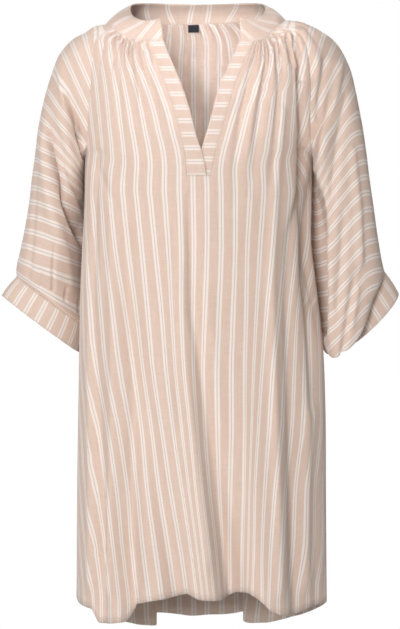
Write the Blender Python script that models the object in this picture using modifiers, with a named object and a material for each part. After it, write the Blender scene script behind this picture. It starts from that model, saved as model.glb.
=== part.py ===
"""Tunic top: two body panels, raglan balloon sleeves, cuffs, stand collar, placket bands, neck label.

Units are metres, +Z is up and the front faces -Y. The origin lies midway between the shoulders,
level with the front neck seam; "left" is the -X side. Every panel is a loft through station
curves: the curves follow the seams, and the wall is given its thickness by a Solidify modifier.
"""

import math
from collections import namedtuple

import bmesh
import bpy
import numpy as np

# Cloth and seams
WALL = 0.0012               # thickness of the cloth
SIDE_SET_BACK = 0.00015     # distance of a panel's edge from the seam line, where the cloth runs on
SEAM_SET_BACK = 0.00040     # the same along the neck seam
RAGLAN_SET_BACK = 0.00085   # the same along the raglan seams, where the cloth turns
FOLD_SET_BACK = 0.00150     # the same at the underarm, where it turns squarely
CUFF_SET_BACK = 0.00070     # the same at the cuff seams
SAMPLES = 49                # points that describe a station curve, or one quarter of an arm ring

# Neck seam, a rounded oval seen from above
NECK_CENTRE_X = -0.007
NECK_HALF_WIDTH = 0.134
NECK_FRONT = 0.105
NECK_BACK = 0.088
NECK_ROUNDNESS = 2.4
NECK_LEAN = 0.003           # how much the right side of the neck seam sits above the middle
NECK_LEAN_START = (-0.07, -0.02)    # depths between which this lean comes in
NECK_JUNCTION_FRONT = 63.0  # degrees from the front centre to the front raglan seam
NECK_SHOULDER = 88.0
NECK_JUNCTION_BACK = 118.0

NeckRow = namedtuple("NeckRow", "depth height")
NECK_PROFILE = [
    NeckRow(-0.1050, -0.0140),
    NeckRow(-0.0966, -0.0145),
    NeckRow(-0.0903, -0.0130),
    NeckRow(-0.0797, -0.0073),
    NeckRow(-0.0673, 0.0027),
    NeckRow(-0.0540, 0.0140),
    NeckRow(-0.0250, 0.0225),
    NeckRow(0.0000, 0.0265),
    NeckRow(0.0500, 0.0330),
    NeckRow(0.0880, 0.0358),
]

# Collar: its top edge is a smaller oval; each row is an angle from the front centre in degrees
CollarRow = namedtuple("CollarRow", "angle left right depth height")
COLLAR_TOP = [
    CollarRow(0, -0.0565, 0.0578, -0.0870, 0.0200),
    CollarRow(12, -0.0785, 0.0745, -0.0800, 0.0175),
    CollarRow(24, -0.0961, 0.0880, -0.0580, 0.0255),
    CollarRow(38, -0.1025, 0.0965, -0.0300, 0.0385),
    CollarRow(55, -0.1020, 0.0955, 0.0000, 0.0515),
    CollarRow(85, -0.0850, 0.0800, 0.0350, 0.0590),
    CollarRow(115, -0.0480, 0.0430, 0.0540, 0.0610),
    CollarRow(140, -0.0050, -0.0050, 0.0580, 0.0600),
]
COLLAR_BULGE = 0.003        # outward swell of the band halfway up

# Placket slit: edges of the slit and free edges of the two bands
SlitRow = namedtuple("SlitRow", "height depth left_slit left_free right_free right_slit")
SLIT = [
    SlitRow(-0.0147, -0.0975, -0.0740, -0.0530, 0.0575, 0.0785),
    SlitRow(-0.0470, -0.1085, -0.0618, -0.0400, 0.0430, 0.0625),
    SlitRow(-0.0800, -0.1150, -0.0493, -0.0262, 0.0285, 0.0495),
    SlitRow(-0.1150, -0.1195, -0.0372, -0.0150, 0.0185, 0.0392),
    SlitRow(-0.1500, -0.1225, -0.0283, -0.0060, 0.0088, 0.0288),
    SlitRow(-0.1830, -0.1243, -0.0212, 0.0045, -0.0010, 0.0212),
    SlitRow(-0.2114, -0.1250, -0.0187, 0.0098, -0.0100, 0.0155),
]
OVERLAP_STEP = 0.0024       # how far the right band passes behind the left one
OVERLAP_TOP = -0.110        # height where the right band starts to sink behind

# Raglan seams, from the neck seam down to the underarm point
SeamRow = namedtuple("SeamRow", "height depth left right")
RAGLAN_FRONT = [
    SeamRow(0.0008, -0.058, -0.1461, 0.1455),
    SeamRow(-0.0109, -0.062, -0.1545, 0.1541),
    SeamRow(-0.0318, -0.064, -0.1580, 0.1594),
    SeamRow(-0.0626, -0.064, -0.1595, 0.1622),
    SeamRow(-0.0977, -0.062, -0.1628, 0.1622),
    SeamRow(-0.1326, -0.056, -0.1650, 0.1630),
    SeamRow(-0.1654, -0.040, -0.1680, 0.1650),
]
RAGLAN_BACK = [
    SeamRow(0.0180, 0.060, -0.1460, 0.1440),
    SeamRow(-0.0100, 0.074, -0.1560, 0.1550),
    SeamRow(-0.0500, 0.080, -0.1610, 0.1600),
    SeamRow(-0.0950, 0.076, -0.1640, 0.1620),
    SeamRow(-0.1350, 0.062, -0.1670, 0.1640),
    SeamRow(-0.1650, 0.036, -0.1700, 0.1660),
]
UNDERARM = SeamRow(-0.1803, -0.005, -0.1715, 0.1678)    # where the side seams start

# Sections of the body panels above the underarm: where they start on the raglan seam
UpperRow = namedtuple("UpperRow", "seam_part front_turn back_turn back_height back_depth")
BODY_UPPER = [
    UpperRow(0.12, 40, 30, 0.010, 0.0985),
    UpperRow(0.28, 45, 27, -0.024, 0.1060),
    UpperRow(0.45, 50, 27, -0.064, 0.1095),
    UpperRow(0.63, 55, 33, -0.107, 0.1100),
    UpperRow(0.82, 67, 48, -0.150, 0.1090),
]
SIDE_HANDLE = 0.40          # reach of a section's curve at the seam, as a share of its span
CENTRE_HANDLE = 0.47        # and at the slit or the centre back

# Sections from the underarm down; the first one dips towards the middle of each panel
LowerRow = namedtuple("LowerRow", "height left right side_depth front back front_full back_full")
FRONT_DIP = -0.2114
BACK_DIP = -0.1900
BODY_LOWER = [
    LowerRow(-0.1803, -0.1715, 0.1678, -0.005, -0.1257, 0.1085, 0.70, 0.75),
    LowerRow(-0.250, -0.1718, 0.1660, -0.022, -0.1270, 0.1090, 0.63, 0.72),
    LowerRow(-0.310, -0.1745, 0.1658, -0.028, -0.1295, 0.1110, 0.58, 0.62),
    LowerRow(-0.380, -0.1774, 0.1740, -0.030, -0.1325, 0.1150, 0.58, 0.55),
    LowerRow(-0.460, -0.1790, 0.1825, -0.030, -0.1365, 0.1215, 0.58, 0.52),
    LowerRow(-0.560, -0.1806, 0.1862, -0.030, -0.1430, 0.1290, 0.58, 0.50),
    LowerRow(-0.680, -0.1822, 0.1868, -0.030, -0.1500, 0.1360, 0.58, 0.50),
    LowerRow(-0.830, -0.1830, 0.1880, -0.030, -0.1560, 0.1430, 0.58, 0.50),
]
FRONT_LEVEL_REACH = 0.60    # how far a section runs straight across from the centre front
BACK_LEVEL_REACH = 0.54     # and from the centre back, as shares of the half width

# Hem heights across each panel, from its left side seam (0) to its right side seam (1)
HemRow = namedtuple("HemRow", "part height")
HEM_FRONT = [
    HemRow(0.000, -0.8210), HemRow(0.033, -0.8293), HemRow(0.066, -0.8354), HemRow(0.099, -0.8378),
    HemRow(0.145, -0.8400), HemRow(0.164, -0.8605), HemRow(0.197, -0.8598), HemRow(0.265, -0.8550),
    HemRow(0.288, -0.8290), HemRow(0.329, -0.8252), HemRow(0.361, -0.8215), HemRow(0.394, -0.8191),
    HemRow(0.427, -0.8150), HemRow(0.460, -0.8109), HemRow(0.500, -0.8193), HemRow(0.540, -0.8207),
    HemRow(0.575, -0.8209), HemRow(0.598, -0.8170), HemRow(0.626, -0.8113), HemRow(0.655, -0.8115),
    HemRow(0.684, -0.8219), HemRow(0.713, -0.8376), HemRow(0.741, -0.8440), HemRow(0.770, -0.8459),
    HemRow(0.813, -0.8490), HemRow(0.856, -0.8440), HemRow(0.914, -0.8391), HemRow(1.000, -0.8375),
]
HEM_BACK = [
    HemRow(0.000, -0.8210), HemRow(0.033, -0.8290), HemRow(0.067, -0.8420), HemRow(0.100, -0.8480),
    HemRow(0.133, -0.8600), HemRow(0.167, -0.8740), HemRow(0.200, -0.8800), HemRow(0.235, -0.8820),
    HemRow(0.267, -0.8863), HemRow(0.310, -0.8854), HemRow(0.333, -0.8780), HemRow(0.367, -0.8757),
    HemRow(0.433, -0.8800), HemRow(0.500, -0.8822), HemRow(0.567, -0.8810), HemRow(0.600, -0.8782),
    HemRow(0.633, -0.8732), HemRow(0.667, -0.8777), HemRow(0.700, -0.8830), HemRow(0.733, -0.8849),
    HemRow(0.767, -0.8797), HemRow(0.833, -0.8697), HemRow(0.900, -0.8554), HemRow(0.967, -0.8430),
    HemRow(1.000, -0.8375),
]

# Troughs of the skirt: the trough runs from (top_x, top) to (low_x, low) and deepens on the way
Trough = namedtuple("Trough", "top top_x low low_x depth left_width right_width")
TROUGH_GROWTH = 1.15        # share of its run at which a trough would reach its whole depth
FRONT_TROUGHS = [
    Trough(-0.330, -0.1480, -0.840, -0.1455, 0.014, 0.010, 0.010),
    Trough(-0.330, -0.1080, -0.815, -0.0340, 0.022, 0.016, 0.018),
    Trough(-0.600, -0.1180, -0.830, -0.1050, 0.020, 0.010, 0.013),
    Trough(-0.440, -0.0050, -0.815, 0.0480, 0.045, 0.016, 0.030),
    Trough(-0.180, 0.1240, -0.830, 0.1440, 0.020, 0.012, 0.014),
]
BACK_TROUGHS = [
    Trough(-0.380, -0.0700, -0.880, -0.1020, 0.062, 0.024, 0.020),
    Trough(-0.400, 0.0680, -0.880, 0.0980, 0.060, 0.018, 0.024),
    Trough(-0.300, -0.0200, -0.880, -0.0150, 0.014, 0.018, 0.016),
    Trough(-0.250, 0.1300, -0.860, 0.1500, 0.014, 0.014, 0.014),
    Trough(-0.260, -0.1340, -0.860, -0.1520, 0.012, 0.014, 0.014),
]

# Gathers under the neck seam
GATHER_DEPTH = 0.0026
GATHER_SINK = 0.5           # share of the depth by which the gathers lie below the plain form
GATHER_START = 0.010        # distance below the seam where the gathers reach their full height
GATHER_HOLD = 0.015         # distance where they begin to die out
GATHER_FADE = 0.075         # and where they are gone
FRONT_GATHERS_LEFT = 7
FRONT_GATHERS_RIGHT = 8
BACK_GATHERS = 20
SLEEVE_GATHERS = 5
SLEEVE_GATHER_ROWS = (6.0, 2.0)     # stations between which the sleeve's gathers come up
CAP_QUIET = 0.05            # share of a sleeve ring next to the raglan seams without gathers

# Sleeve sections above the underarm: crown point and place on the raglan seams
CapRow = namedtuple(
    "CapRow", "seam_front seam_back left_x left_z right_x right_z swell_front swell_back")
SLEEVE_CAP = [
    CapRow(0.170, 0.12, -0.1580, 0.0185, 0.1500, 0.0262, 0.000, 0.000),
    CapRow(0.270, 0.28, -0.1690, 0.0128, 0.1680, 0.0195, 0.000, 0.000),
    CapRow(0.400, 0.42, -0.1895, 0.0020, 0.1862, 0.0100, 0.000, 0.002),
    CapRow(0.540, 0.56, -0.2030, -0.0110, 0.2030, -0.0030, 0.000, 0.007),
    CapRow(0.665, 0.68, -0.2145, -0.0285, 0.2155, -0.0215, 0.002, 0.014),
    CapRow(0.810, 0.80, -0.2265, -0.0625, 0.2262, -0.0455, 0.008, 0.021),
]
CROWN_DEPTH = 0.010         # depth of the outermost line of the sleeves

# Closed sleeve rings, down to the cuff seam: outermost and innermost points, depths, fullness
ArmRow = namedtuple("ArmRow", "outer_x outer_z inner_x inner_z front back front_part droop skew")
LEFT_ARM = [
    ArmRow(-0.2356, -0.0959, -0.1695, -0.1990, -0.057, 0.078, 0.90, 0.000, 0.000),
    ArmRow(-0.2430, -0.1341, -0.1725, -0.2172, -0.058, 0.082, 0.80, 0.000, 0.000),
    ArmRow(-0.2475, -0.1718, -0.1737, -0.2384, -0.058, 0.084, 0.72, 0.000, 0.000),
    ArmRow(-0.2520, -0.2049, -0.1740, -0.2611, -0.058, 0.085, 0.66, 0.000, 0.000),
    ArmRow(-0.2558, -0.2395, -0.1745, -0.2869, -0.058, 0.085, 0.62, 0.000, 0.000),
    ArmRow(-0.2618, -0.2771, -0.1750, -0.3186, -0.056, 0.084, 0.60, 0.000, 0.000),
    ArmRow(-0.2693, -0.3132, -0.1750, -0.3520, -0.050, 0.081, 0.58, 0.004, 0.000),
    ArmRow(-0.2755, -0.3400, -0.1735, -0.4050, -0.036, 0.074, 0.53, 0.004, 0.000),
    ArmRow(-0.2754, -0.3553, -0.1738, -0.4292, -0.026, 0.066, 0.50, 0.000, 0.000),
]
RIGHT_ARM = [
    ArmRow(0.2325, -0.0709, 0.1655, -0.1990, -0.062, 0.078, 0.88, 0.000, 0.000),
    ArmRow(0.2385, -0.1010, 0.1645, -0.2232, -0.065, 0.082, 0.85, 0.000, 0.000),
    ArmRow(0.2445, -0.1341, 0.1650, -0.2505, -0.066, 0.084, 0.81, 0.000, 0.000),
    ArmRow(0.2498, -0.1718, 0.1650, -0.2808, -0.067, 0.085, 0.77, 0.000, 0.000),
    ArmRow(0.2543, -0.2094, 0.1665, -0.3141, -0.068, 0.085, 0.76, 0.000, 0.000),
    ArmRow(0.2603, -0.2500, 0.1715, -0.3520, -0.069, 0.084, 0.81, 0.006, 0.000),
    ArmRow(0.2663, -0.2921, 0.1770, -0.3928, -0.069, 0.081, 0.86, 0.024, 0.000),
    ArmRow(0.2716, -0.3237, 0.1775, -0.4270, -0.066, 0.076, 0.86, 0.064, 0.010),
    ArmRow(0.2739, -0.3448, 0.1790, -0.4460, -0.026, 0.066, 0.50, 0.000, 0.014),
]
LEFT_CUFF_EDGE = ArmRow(-0.2978, -0.3832, -0.1835, -0.4684, -0.027, 0.067, 0.50, 0.000, 0.000)
RIGHT_CUFF_EDGE = ArmRow(0.2949, -0.3764, 0.1930, -0.4719, -0.027, 0.067, 0.50, 0.000, 0.015)
INNER_DEPTH = 0.030         # depth of the innermost line of the sleeves
ARM_ROUNDNESS = 0.90        # exponent of the outer quarters, below 1 is fuller
INNER_ROUNDNESS = 1.50      # exponent of the quarters next to the body, 2 is a straight chord
CUFF_ROUNDNESS = 1.00
CUFF_TUCK = 0.006           # how far the cloth stands out from the cuff where it turns into the seam
CUFF_TUCK_LEVELLING = 0.75  # how much less it does so at the inner and the outer side
CUFF_TUCK_RISE = 0.002      # how far above the seam it turns
ARMHOLE_ROLL = 0.0035       # how far the sleeve stands off the body just below the armhole
ARMHOLE_ROLL_START = 0.05   # share of a station in which it does so
ARMHOLE_ROLL_END = (8.5, 7.0)       # stations between which this goes back to nothing
ARMHOLE_ROLL_SIDE = (0.28, 0.18)    # shares of the ring from the innermost line, in the same way

# How strongly a ring droops, by the share of the way round it
DroopRow = namedtuple("DroopRow", "part strength")
DROOP = [
    DroopRow(0.000, 0.00), DroopRow(0.125, 0.45), DroopRow(0.219, 0.90), DroopRow(0.250, 0.95),
    DroopRow(0.281, 1.00), DroopRow(0.312, 1.06), DroopRow(0.344, 1.12), DroopRow(0.375, 0.55),
    DroopRow(0.406, 0.38), DroopRow(0.437, 0.25), DroopRow(0.469, 0.12), DroopRow(0.500, 0.00),
    DroopRow(1.000, 0.00),
]

# Troughs of the sleeves, given by the station and the share of the ring where they start and end
ArmTrough = namedtuple("ArmTrough", "start start_part end end_part depth width")
ARM_TROUGH_OVERRUN = 0.25   # how far a trough runs past its ends, as a share of its length
ARM_TROUGH_RISE = 0.15      # and how far inside them it is at full depth
LEFT_ARM_TROUGHS = [
    ArmTrough(5.2, 0.400, 7.2, 0.300, 0.006, 0.036),
    ArmTrough(8.0, 0.370, 12.0, 0.270, 0.009, 0.040),
    ArmTrough(8.0, 0.600, 13.0, 0.680, 0.007, 0.040),
]
RIGHT_ARM_TROUGHS = [
    ArmTrough(3.0, 0.300, 7.0, 0.290, 0.006, 0.034),
    ArmTrough(8.0, 0.410, 14.0, 0.420, 0.005, 0.036),
    ArmTrough(8.0, 0.620, 13.0, 0.700, 0.007, 0.040),
]

# Neck label, hanging inside the back panel
LABEL_WIDTH = 0.0165
LABEL_HEIGHT = 0.0120
LABEL_CENTRE_X = -0.010
LABEL_DROP = 0.0020         # gap between the neck seam and the label's top edge
LABEL_OFFSET = 0.0045       # distance of the label in front of the panel
LABEL_COLUMNS = 4
LABEL_ROWS = 3

# Mesh density: columns of each panel, and the stations where a row of points is made
FRONT_LEFT_COLUMNS = 4 * FRONT_GATHERS_LEFT
FRONT_MIDDLE_COLUMNS = 4
FRONT_RIGHT_COLUMNS = 4 * FRONT_GATHERS_RIGHT
BACK_COLUMNS = 3 * BACK_GATHERS
QUARTER_COLUMNS = 8
GATHERED_ROWS = [0.0, 0.12, 0.30, 0.55, 0.90, 1.30, 1.80]
PLAIN_ROWS = [2.4, 3.1, 3.8, 4.4, 4.8, 5.2, 5.5, 5.75, 6.0, 6.4, 7.0, 7.7, 8.5, 9.5, 10.6, 11.8,
              13.0]
SLIT_STATION = 6
UNDERARM_STATION = 6
MIDDLE_PART = 0.08          # share of the front below the slit that lies between its edges
SLIT_QUIET = 0.025          # share of the front next to the slit where the gathers die out
EDGE_QUIET = 0.03           # share of a panel next to its side seams that stays plain
SETTLING_COLUMNS = 6        # columns that follow when a panel's edge is brought onto its seam
CAP_ROWS = [0.0, 0.15, 0.4, 0.8, 1.3, 2.0, 2.7, 3.4, 4.0, 4.6, 5.05, 5.4, 5.7]
ARM_ROWS = [6.0, 6.1, 6.5, 7.1, 7.8, 8.6, 9.4, 10.3, 11.2, 12.1, 12.9, 13.5, 13.85, 14.0, 14.2,
            14.6, 15.0, 16.0]
CAP_STATION = 6
COLLAR_COLUMNS = 64
COLLAR_ROWS = 3
BAND_COLUMNS = 2
CUFF_ROWS = 3

CLOTH_COLOUR = (0.62, 0.47, 0.36, 1.0)
BAND_COLOUR = (0.60, 0.45, 0.34, 1.0)
LABEL_COLOUR = (0.012, 0.013, 0.022, 1.0)
CLOTH_ROUGHNESS = 0.85
LABEL_ROUGHNESS = 0.6


# ---------------------------------------------------------------- curves and lofts

def smooth_step(low, high, value):
    """Rise from 0 at low to 1 at high without a kink; low may lie above high."""
    t = np.clip((np.asarray(value, float) - low) / (high - low), 0.0, 1.0)
    return t * t * (3.0 - 2.0 * t)


def hermite(points, knots, values):
    """Smooth curve through points at the given knots, read at values, along the first axis."""
    points, knots, values = (np.asarray(a, float) for a in (points, knots, values))
    slopes = np.gradient(points, knots, axis=0)
    cell = np.clip(np.searchsorted(knots, values, side="right") - 1, 0, len(knots) - 2)
    span = knots[cell + 1] - knots[cell]
    t = (values - knots[cell]) / span
    tail = (1,) * (points.ndim - 1)
    t, span = t.reshape(-1, *tail), span.reshape(-1, *tail)
    return ((2 * t**3 - 3 * t**2 + 1) * points[cell] + (t**3 - 2 * t**2 + t) * span * slopes[cell]
            + (3 * t**2 - 2 * t**3) * points[cell + 1] + (t**3 - t**2) * span * slopes[cell + 1])


def lengths_along(curve):
    """Running length of a polyline."""
    steps = np.linalg.norm(np.diff(curve, axis=0), axis=1)
    return np.concatenate([[0.0], np.cumsum(steps)])


def read_at(curve, shares):
    """Points of a polyline at the given shares of its length."""
    running = lengths_along(curve)
    wanted = np.asarray(shares, float) * running[-1]
    return np.stack([np.interp(wanted, running, curve[:, axis]) for axis in range(3)], axis=-1)


def curve_through(points):
    """Dense smooth polyline through a few points."""
    points = np.asarray(points, float)
    knots = lengths_along(points)
    return hermite(points, knots, np.linspace(0.0, knots[-1], 12 * len(points)))


def bezier(start, start_handle, end_handle, end):
    """Cubic arc with evenly spaced points."""
    t = np.linspace(0.0, 1.0, 4 * SAMPLES)[:, None]
    arc = ((1 - t)**3 * start + 3 * (1 - t)**2 * t * start_handle
           + 3 * (1 - t) * t**2 * end_handle + t**3 * end)
    return read_at(arc, np.linspace(0.0, 1.0, SAMPLES))


def quarter_arc(corner, start, end, exponent):
    """Quarter oval round a corner, from start to end, with evenly spaced points."""
    t = np.linspace(0.0, math.pi / 2, 4 * SAMPLES)[:, None]
    arc = (corner + (start - corner) * np.cos(t)**exponent
           + (end - corner) * np.sin(t)**exponent)
    return read_at(arc, np.linspace(0.0, 1.0, SAMPLES))


def part_of(curve, first, last):
    """Stretch of a polyline between two shares of its length, with evenly spaced points."""
    return read_at(curve, np.linspace(first, last, SAMPLES))


def loft(stations, rows, shares):
    """Grid of points: rows are stations to stop at, shares are places along each station."""
    lines = hermite(stations, np.arange(len(stations)), rows)
    places = np.linspace(0.0, 1.0, stations.shape[1])
    grid = np.empty((len(rows), len(shares), 3))
    for row, line in enumerate(lines):
        for axis in range(3):
            grid[row, :, axis] = np.interp(shares, places, line[:, axis])
    return grid


def outward(grid, side):
    """Unit normals of a grid; side is 1 or -1."""
    normal = np.cross(np.gradient(grid, axis=0), np.gradient(grid, axis=1)) * side
    return normal / np.maximum(np.linalg.norm(normal, axis=-1, keepdims=True), 1e-9)


def set_back(edge, inner, distance):
    """Points of a panel's edge, drawn back square to the edge towards the panel's inner points."""
    along = np.gradient(edge, axis=0)
    along /= np.linalg.norm(along, axis=-1, keepdims=True)
    step = inner - edge
    step -= np.sum(step * along, axis=-1, keepdims=True) * along
    return edge + distance * step / np.linalg.norm(step, axis=-1, keepdims=True)


def settle(grid, rows, column, exact, reach):
    """Move a column of a grid onto an exact line, and its neighbours along with it."""
    move = exact - grid[rows, column]
    for other in range(max(0, column - reach), min(grid.shape[1], column + reach + 1)):
        grid[rows, other] += move * (1.0 - abs(other - column) / (reach + 1.0))


# ---------------------------------------------------------------- seams

def neck_point(angle):
    """Point of the neck seam; the angle in degrees runs from the front centre towards +X."""
    turn = math.radians(angle)
    across, along = math.sin(turn), math.cos(turn)
    power = 2.0 / NECK_ROUNDNESS
    reach = NECK_FRONT if along > 0 else NECK_BACK
    x = NECK_CENTRE_X + NECK_HALF_WIDTH * math.copysign(abs(across)**power, across)
    y = -reach * math.copysign(abs(along)**power, along)
    depths = [row.depth for row in NECK_PROFILE]
    heights = [row.height for row in NECK_PROFILE]
    lean = NECK_LEAN * (x - NECK_CENTRE_X) / NECK_HALF_WIDTH * smooth_step(*NECK_LEAN_START, y)
    return np.array([x, y, np.interp(y, depths, heights) + lean])


def neck_arc(start, end):
    """Stretch of the neck seam between two angles."""
    line = np.array([neck_point(angle) for angle in np.linspace(start, end, 4 * SAMPLES)])
    return read_at(line, np.linspace(0.0, 1.0, SAMPLES))


def neck_angle_at(x):
    """Angle of the front neck seam at a given x."""
    angles = np.linspace(-80.0, 80.0, 641)
    places = [neck_point(angle)[0] for angle in angles]
    return float(np.interp(x, places, angles))


def side_name(sign):
    return "left" if sign < 0 else "right"


def raglan(rows, junction, sign):
    """Raglan seam on one side, from the neck seam to the underarm point."""
    name = side_name(sign)
    points = [neck_point(sign * junction)]
    points += [np.array([getattr(row, name), row.depth, row.height]) for row in rows]
    points.append(np.array([getattr(UNDERARM, name), UNDERARM.depth, UNDERARM.height]))
    return curve_through(points)


def front_raglan(sign):
    return raglan(RAGLAN_FRONT, NECK_JUNCTION_FRONT, sign)


def back_raglan(sign):
    return raglan(RAGLAN_BACK, NECK_JUNCTION_BACK, sign)


def along_seam(seam, parts, rows):
    """Points of a seam at the given rows; parts says how far along it each station lies."""
    table = np.asarray(parts, float)[:, None]
    shares = hermite(table, np.arange(len(parts)), rows)[:, 0]
    return read_at(seam, np.clip(shares, 0.0, 1.0))


def side_seam(sign, rows):
    """Points of a side seam, from the underarm point down to the hem."""
    name = side_name(sign)
    points = [[getattr(row, name), row.side_depth, row.height] for row in BODY_LOWER]
    points[-1][2] = (HEM_FRONT[0] if sign < 0 else HEM_FRONT[-1]).height
    return hermite(points, np.arange(len(points)) + UNDERARM_STATION, rows)


def slit_point(station, column):
    """Point on one of the slit's lines at a station between 0 and 6."""
    table = np.array([[getattr(row, column), row.depth, row.height] for row in SLIT])
    table[0] = neck_point(neck_angle_at(table[0, 0]))
    return hermite(table, np.arange(len(SLIT)), [station])[0]


# ---------------------------------------------------------------- body panels

def upper_section(seam_point, centre_point, turn):
    """Curve from a raglan seam to the slit or the centre back."""
    span = np.linalg.norm(centre_point - seam_point)
    inwards = -np.sign(seam_point[0])
    bulge = np.sign(centre_point[1] - seam_point[1])
    angle = math.radians(turn)
    start = np.array([inwards * math.cos(angle), bulge * math.sin(angle), 0.0])
    end = np.array([-inwards, 0.0, 0.0])
    return bezier(seam_point, seam_point + SIDE_HANDLE * span * start,
                  centre_point + CENTRE_HANDLE * span * end, centre_point)


def level_half(row, sign, depth, fullness, reach, centre_height):
    """Half of a section, from the side seam to the centre."""
    side = np.array([getattr(row, side_name(sign)), row.side_depth, row.height])
    centre = np.array([0.0, depth, centre_height])
    start = side + np.array([0.0, fullness * (depth - row.side_depth), 0.0])
    end = centre + np.array([reach * side[0], 0.0, 0.0])
    return bezier(side, start, end, centre)


def split_at(curve, x):
    """Share of a polyline's length where it first passes a given x."""
    running = lengths_along(curve)
    return float(np.interp(x, curve[:, 0], running) / running[-1])


def hem_heights(table, shares):
    return np.interp(shares, [row.part for row in table], [row.height for row in table])


def front_stations():
    """Station curves of the front, each in three stretches: left, middle and right of the slit."""
    seams = {sign: front_raglan(sign) for sign in (-1, 1)}
    stations = []
    neck_left = neck_arc(-NECK_JUNCTION_FRONT, neck_angle_at(SLIT[0].left_slit))
    neck_right = neck_arc(neck_angle_at(SLIT[0].right_slit), NECK_JUNCTION_FRONT)
    stations.append((neck_left, neck_right))
    for index, row in enumerate(BODY_UPPER, start=1):
        left, right = (read_at(seams[sign], [row.seam_part])[0] for sign in (-1, 1))
        to_slit = [upper_section(seam_point, slit_point(index, column), row.front_turn)
                   for seam_point, column in ((left, "left_slit"), (right, "right_slit"))]
        stations.append((to_slit[0], to_slit[1][::-1]))
    triples = []
    for left, right in stations:
        middle = np.linspace(left[-1], right[0], SAMPLES)
        triples.append(np.concatenate([left, middle[1:], right[1:]]))
    for index, row in enumerate(BODY_LOWER):
        dip = FRONT_DIP if index == 0 else row.height
        left, right = (
            level_half(row, sign, row.front, row.front_full, FRONT_LEVEL_REACH, dip)
            for sign in (-1, 1))
        whole = np.concatenate([left, right[-2::-1]])
        first = split_at(whole, SLIT[-1].left_slit)
        last = split_at(whole, SLIT[-1].right_slit)
        triples.append(np.concatenate([part_of(whole, 0.0, first), part_of(whole, first, last)[1:],
                                       part_of(whole, last, 1.0)[1:]]))
    return np.array(triples)


def back_stations():
    """Station curves of the back, from its right edge (+X) to its left edge."""
    seams = {sign: back_raglan(sign) for sign in (-1, 1)}
    stations = [read_at(neck_arc(NECK_JUNCTION_BACK, 360.0 - NECK_JUNCTION_BACK),
                        np.linspace(0.0, 1.0, 2 * SAMPLES - 1))]
    for row in BODY_UPPER:
        centre = np.array([0.0, row.back_depth, row.back_height])
        right, left = (
            upper_section(read_at(seams[sign], [row.seam_part])[0], centre, row.back_turn)
            for sign in (1, -1))
        stations.append(np.concatenate([right, left[-2::-1]]))
    for index, row in enumerate(BODY_LOWER):
        dip = BACK_DIP if index == 0 else row.height
        right, left = (
            level_half(row, sign, row.back, row.back_full, BACK_LEVEL_REACH, dip)
            for sign in (1, -1))
        stations.append(np.concatenate([right, left[-2::-1]]))
    return np.array(stations)


def trough_depth(points, troughs):
    """Depth of the skirt's troughs at each point of a grid."""
    x, z = points[..., 0], points[..., 2]
    total = np.zeros_like(x)
    for trough in troughs:
        share = (trough.top - z) / (trough.top - trough.low)
        centre = trough.top_x + (trough.low_x - trough.top_x) * share
        width = np.where(x < centre, trough.left_width, trough.right_width)
        grown = trough.depth * smooth_step(0.0, TROUGH_GROWTH, share)
        total += grown * np.exp(-((x - centre) / width)**2)
    return total


def gather_height(drop, waves):
    """Height of the gathers: nothing on the seam, full just below it, then dying out."""
    strength = smooth_step(0.0, GATHER_START, drop) * smooth_step(GATHER_FADE, GATHER_HOLD, drop)
    return GATHER_DEPTH * strength * (np.cos(2.0 * math.pi * waves) - GATHER_SINK)


def drop_below(grid):
    """Distance of each point below the first row of its column."""
    steps = np.linalg.norm(np.diff(grid, axis=0), axis=-1)
    return np.concatenate([np.zeros((1, grid.shape[1])), np.cumsum(steps, axis=0)])


def front_shares():
    """Columns of the front: shares of a station, gather wave and strength of the gathers."""
    parts = []
    waves = []
    counts = (FRONT_LEFT_COLUMNS, FRONT_MIDDLE_COLUMNS, FRONT_RIGHT_COLUMNS)
    gathers = (FRONT_GATHERS_LEFT, 0, FRONT_GATHERS_RIGHT)
    for index, (count, number) in enumerate(zip(counts, gathers)):
        steps = np.linspace(0.0, 1.0, count + 1)[1 if index else 0:]
        parts.append((index + steps) / 3.0)
        waves.append(steps * number + 0.5)
    shares = np.concatenate(parts)
    to_slit = np.minimum(abs(shares - 1.0 / 3.0), abs(shares - 2.0 / 3.0))
    return shares, np.concatenate(waves), smooth_step(0.0, SLIT_QUIET, to_slit)


def body_grid(stations, shares, waves, gathering, hem, hem_shares, troughs, raglan_seams):
    """Points of a body panel, with its gathers, troughs and hem curve, brought onto its seams."""
    stations = stations.copy()
    hem_places = np.interp(np.linspace(0.0, 1.0, stations.shape[1]), *hem_shares)
    stations[-1, :, 2] = hem_heights(hem, hem_places)
    rows = np.array(GATHERED_ROWS + PLAIN_ROWS)
    grid = loft(stations, rows, shares)
    above = rows < UNDERARM_STATION
    parts = [0.0] + [row.seam_part for row in BODY_UPPER] + [1.0]
    for column, seam in zip((0, -1), raglan_seams):
        sign = np.sign(seam[-1, 0])
        exact = np.concatenate([along_seam(seam, parts, rows[above]), side_seam(sign, rows[~above])])
        settle(grid, slice(None), column % grid.shape[1], exact, SETTLING_COLUMNS)
    quiet_edge = smooth_step(0.0, EDGE_QUIET, shares) * smooth_step(1.0, 1.0 - EDGE_QUIET, shares)
    push = gather_height(drop_below(grid), waves[None, :]) * gathering - trough_depth(grid, troughs)
    return grid + (push * quiet_edge[None, :])[..., None] * outward(grid, 1)


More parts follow.
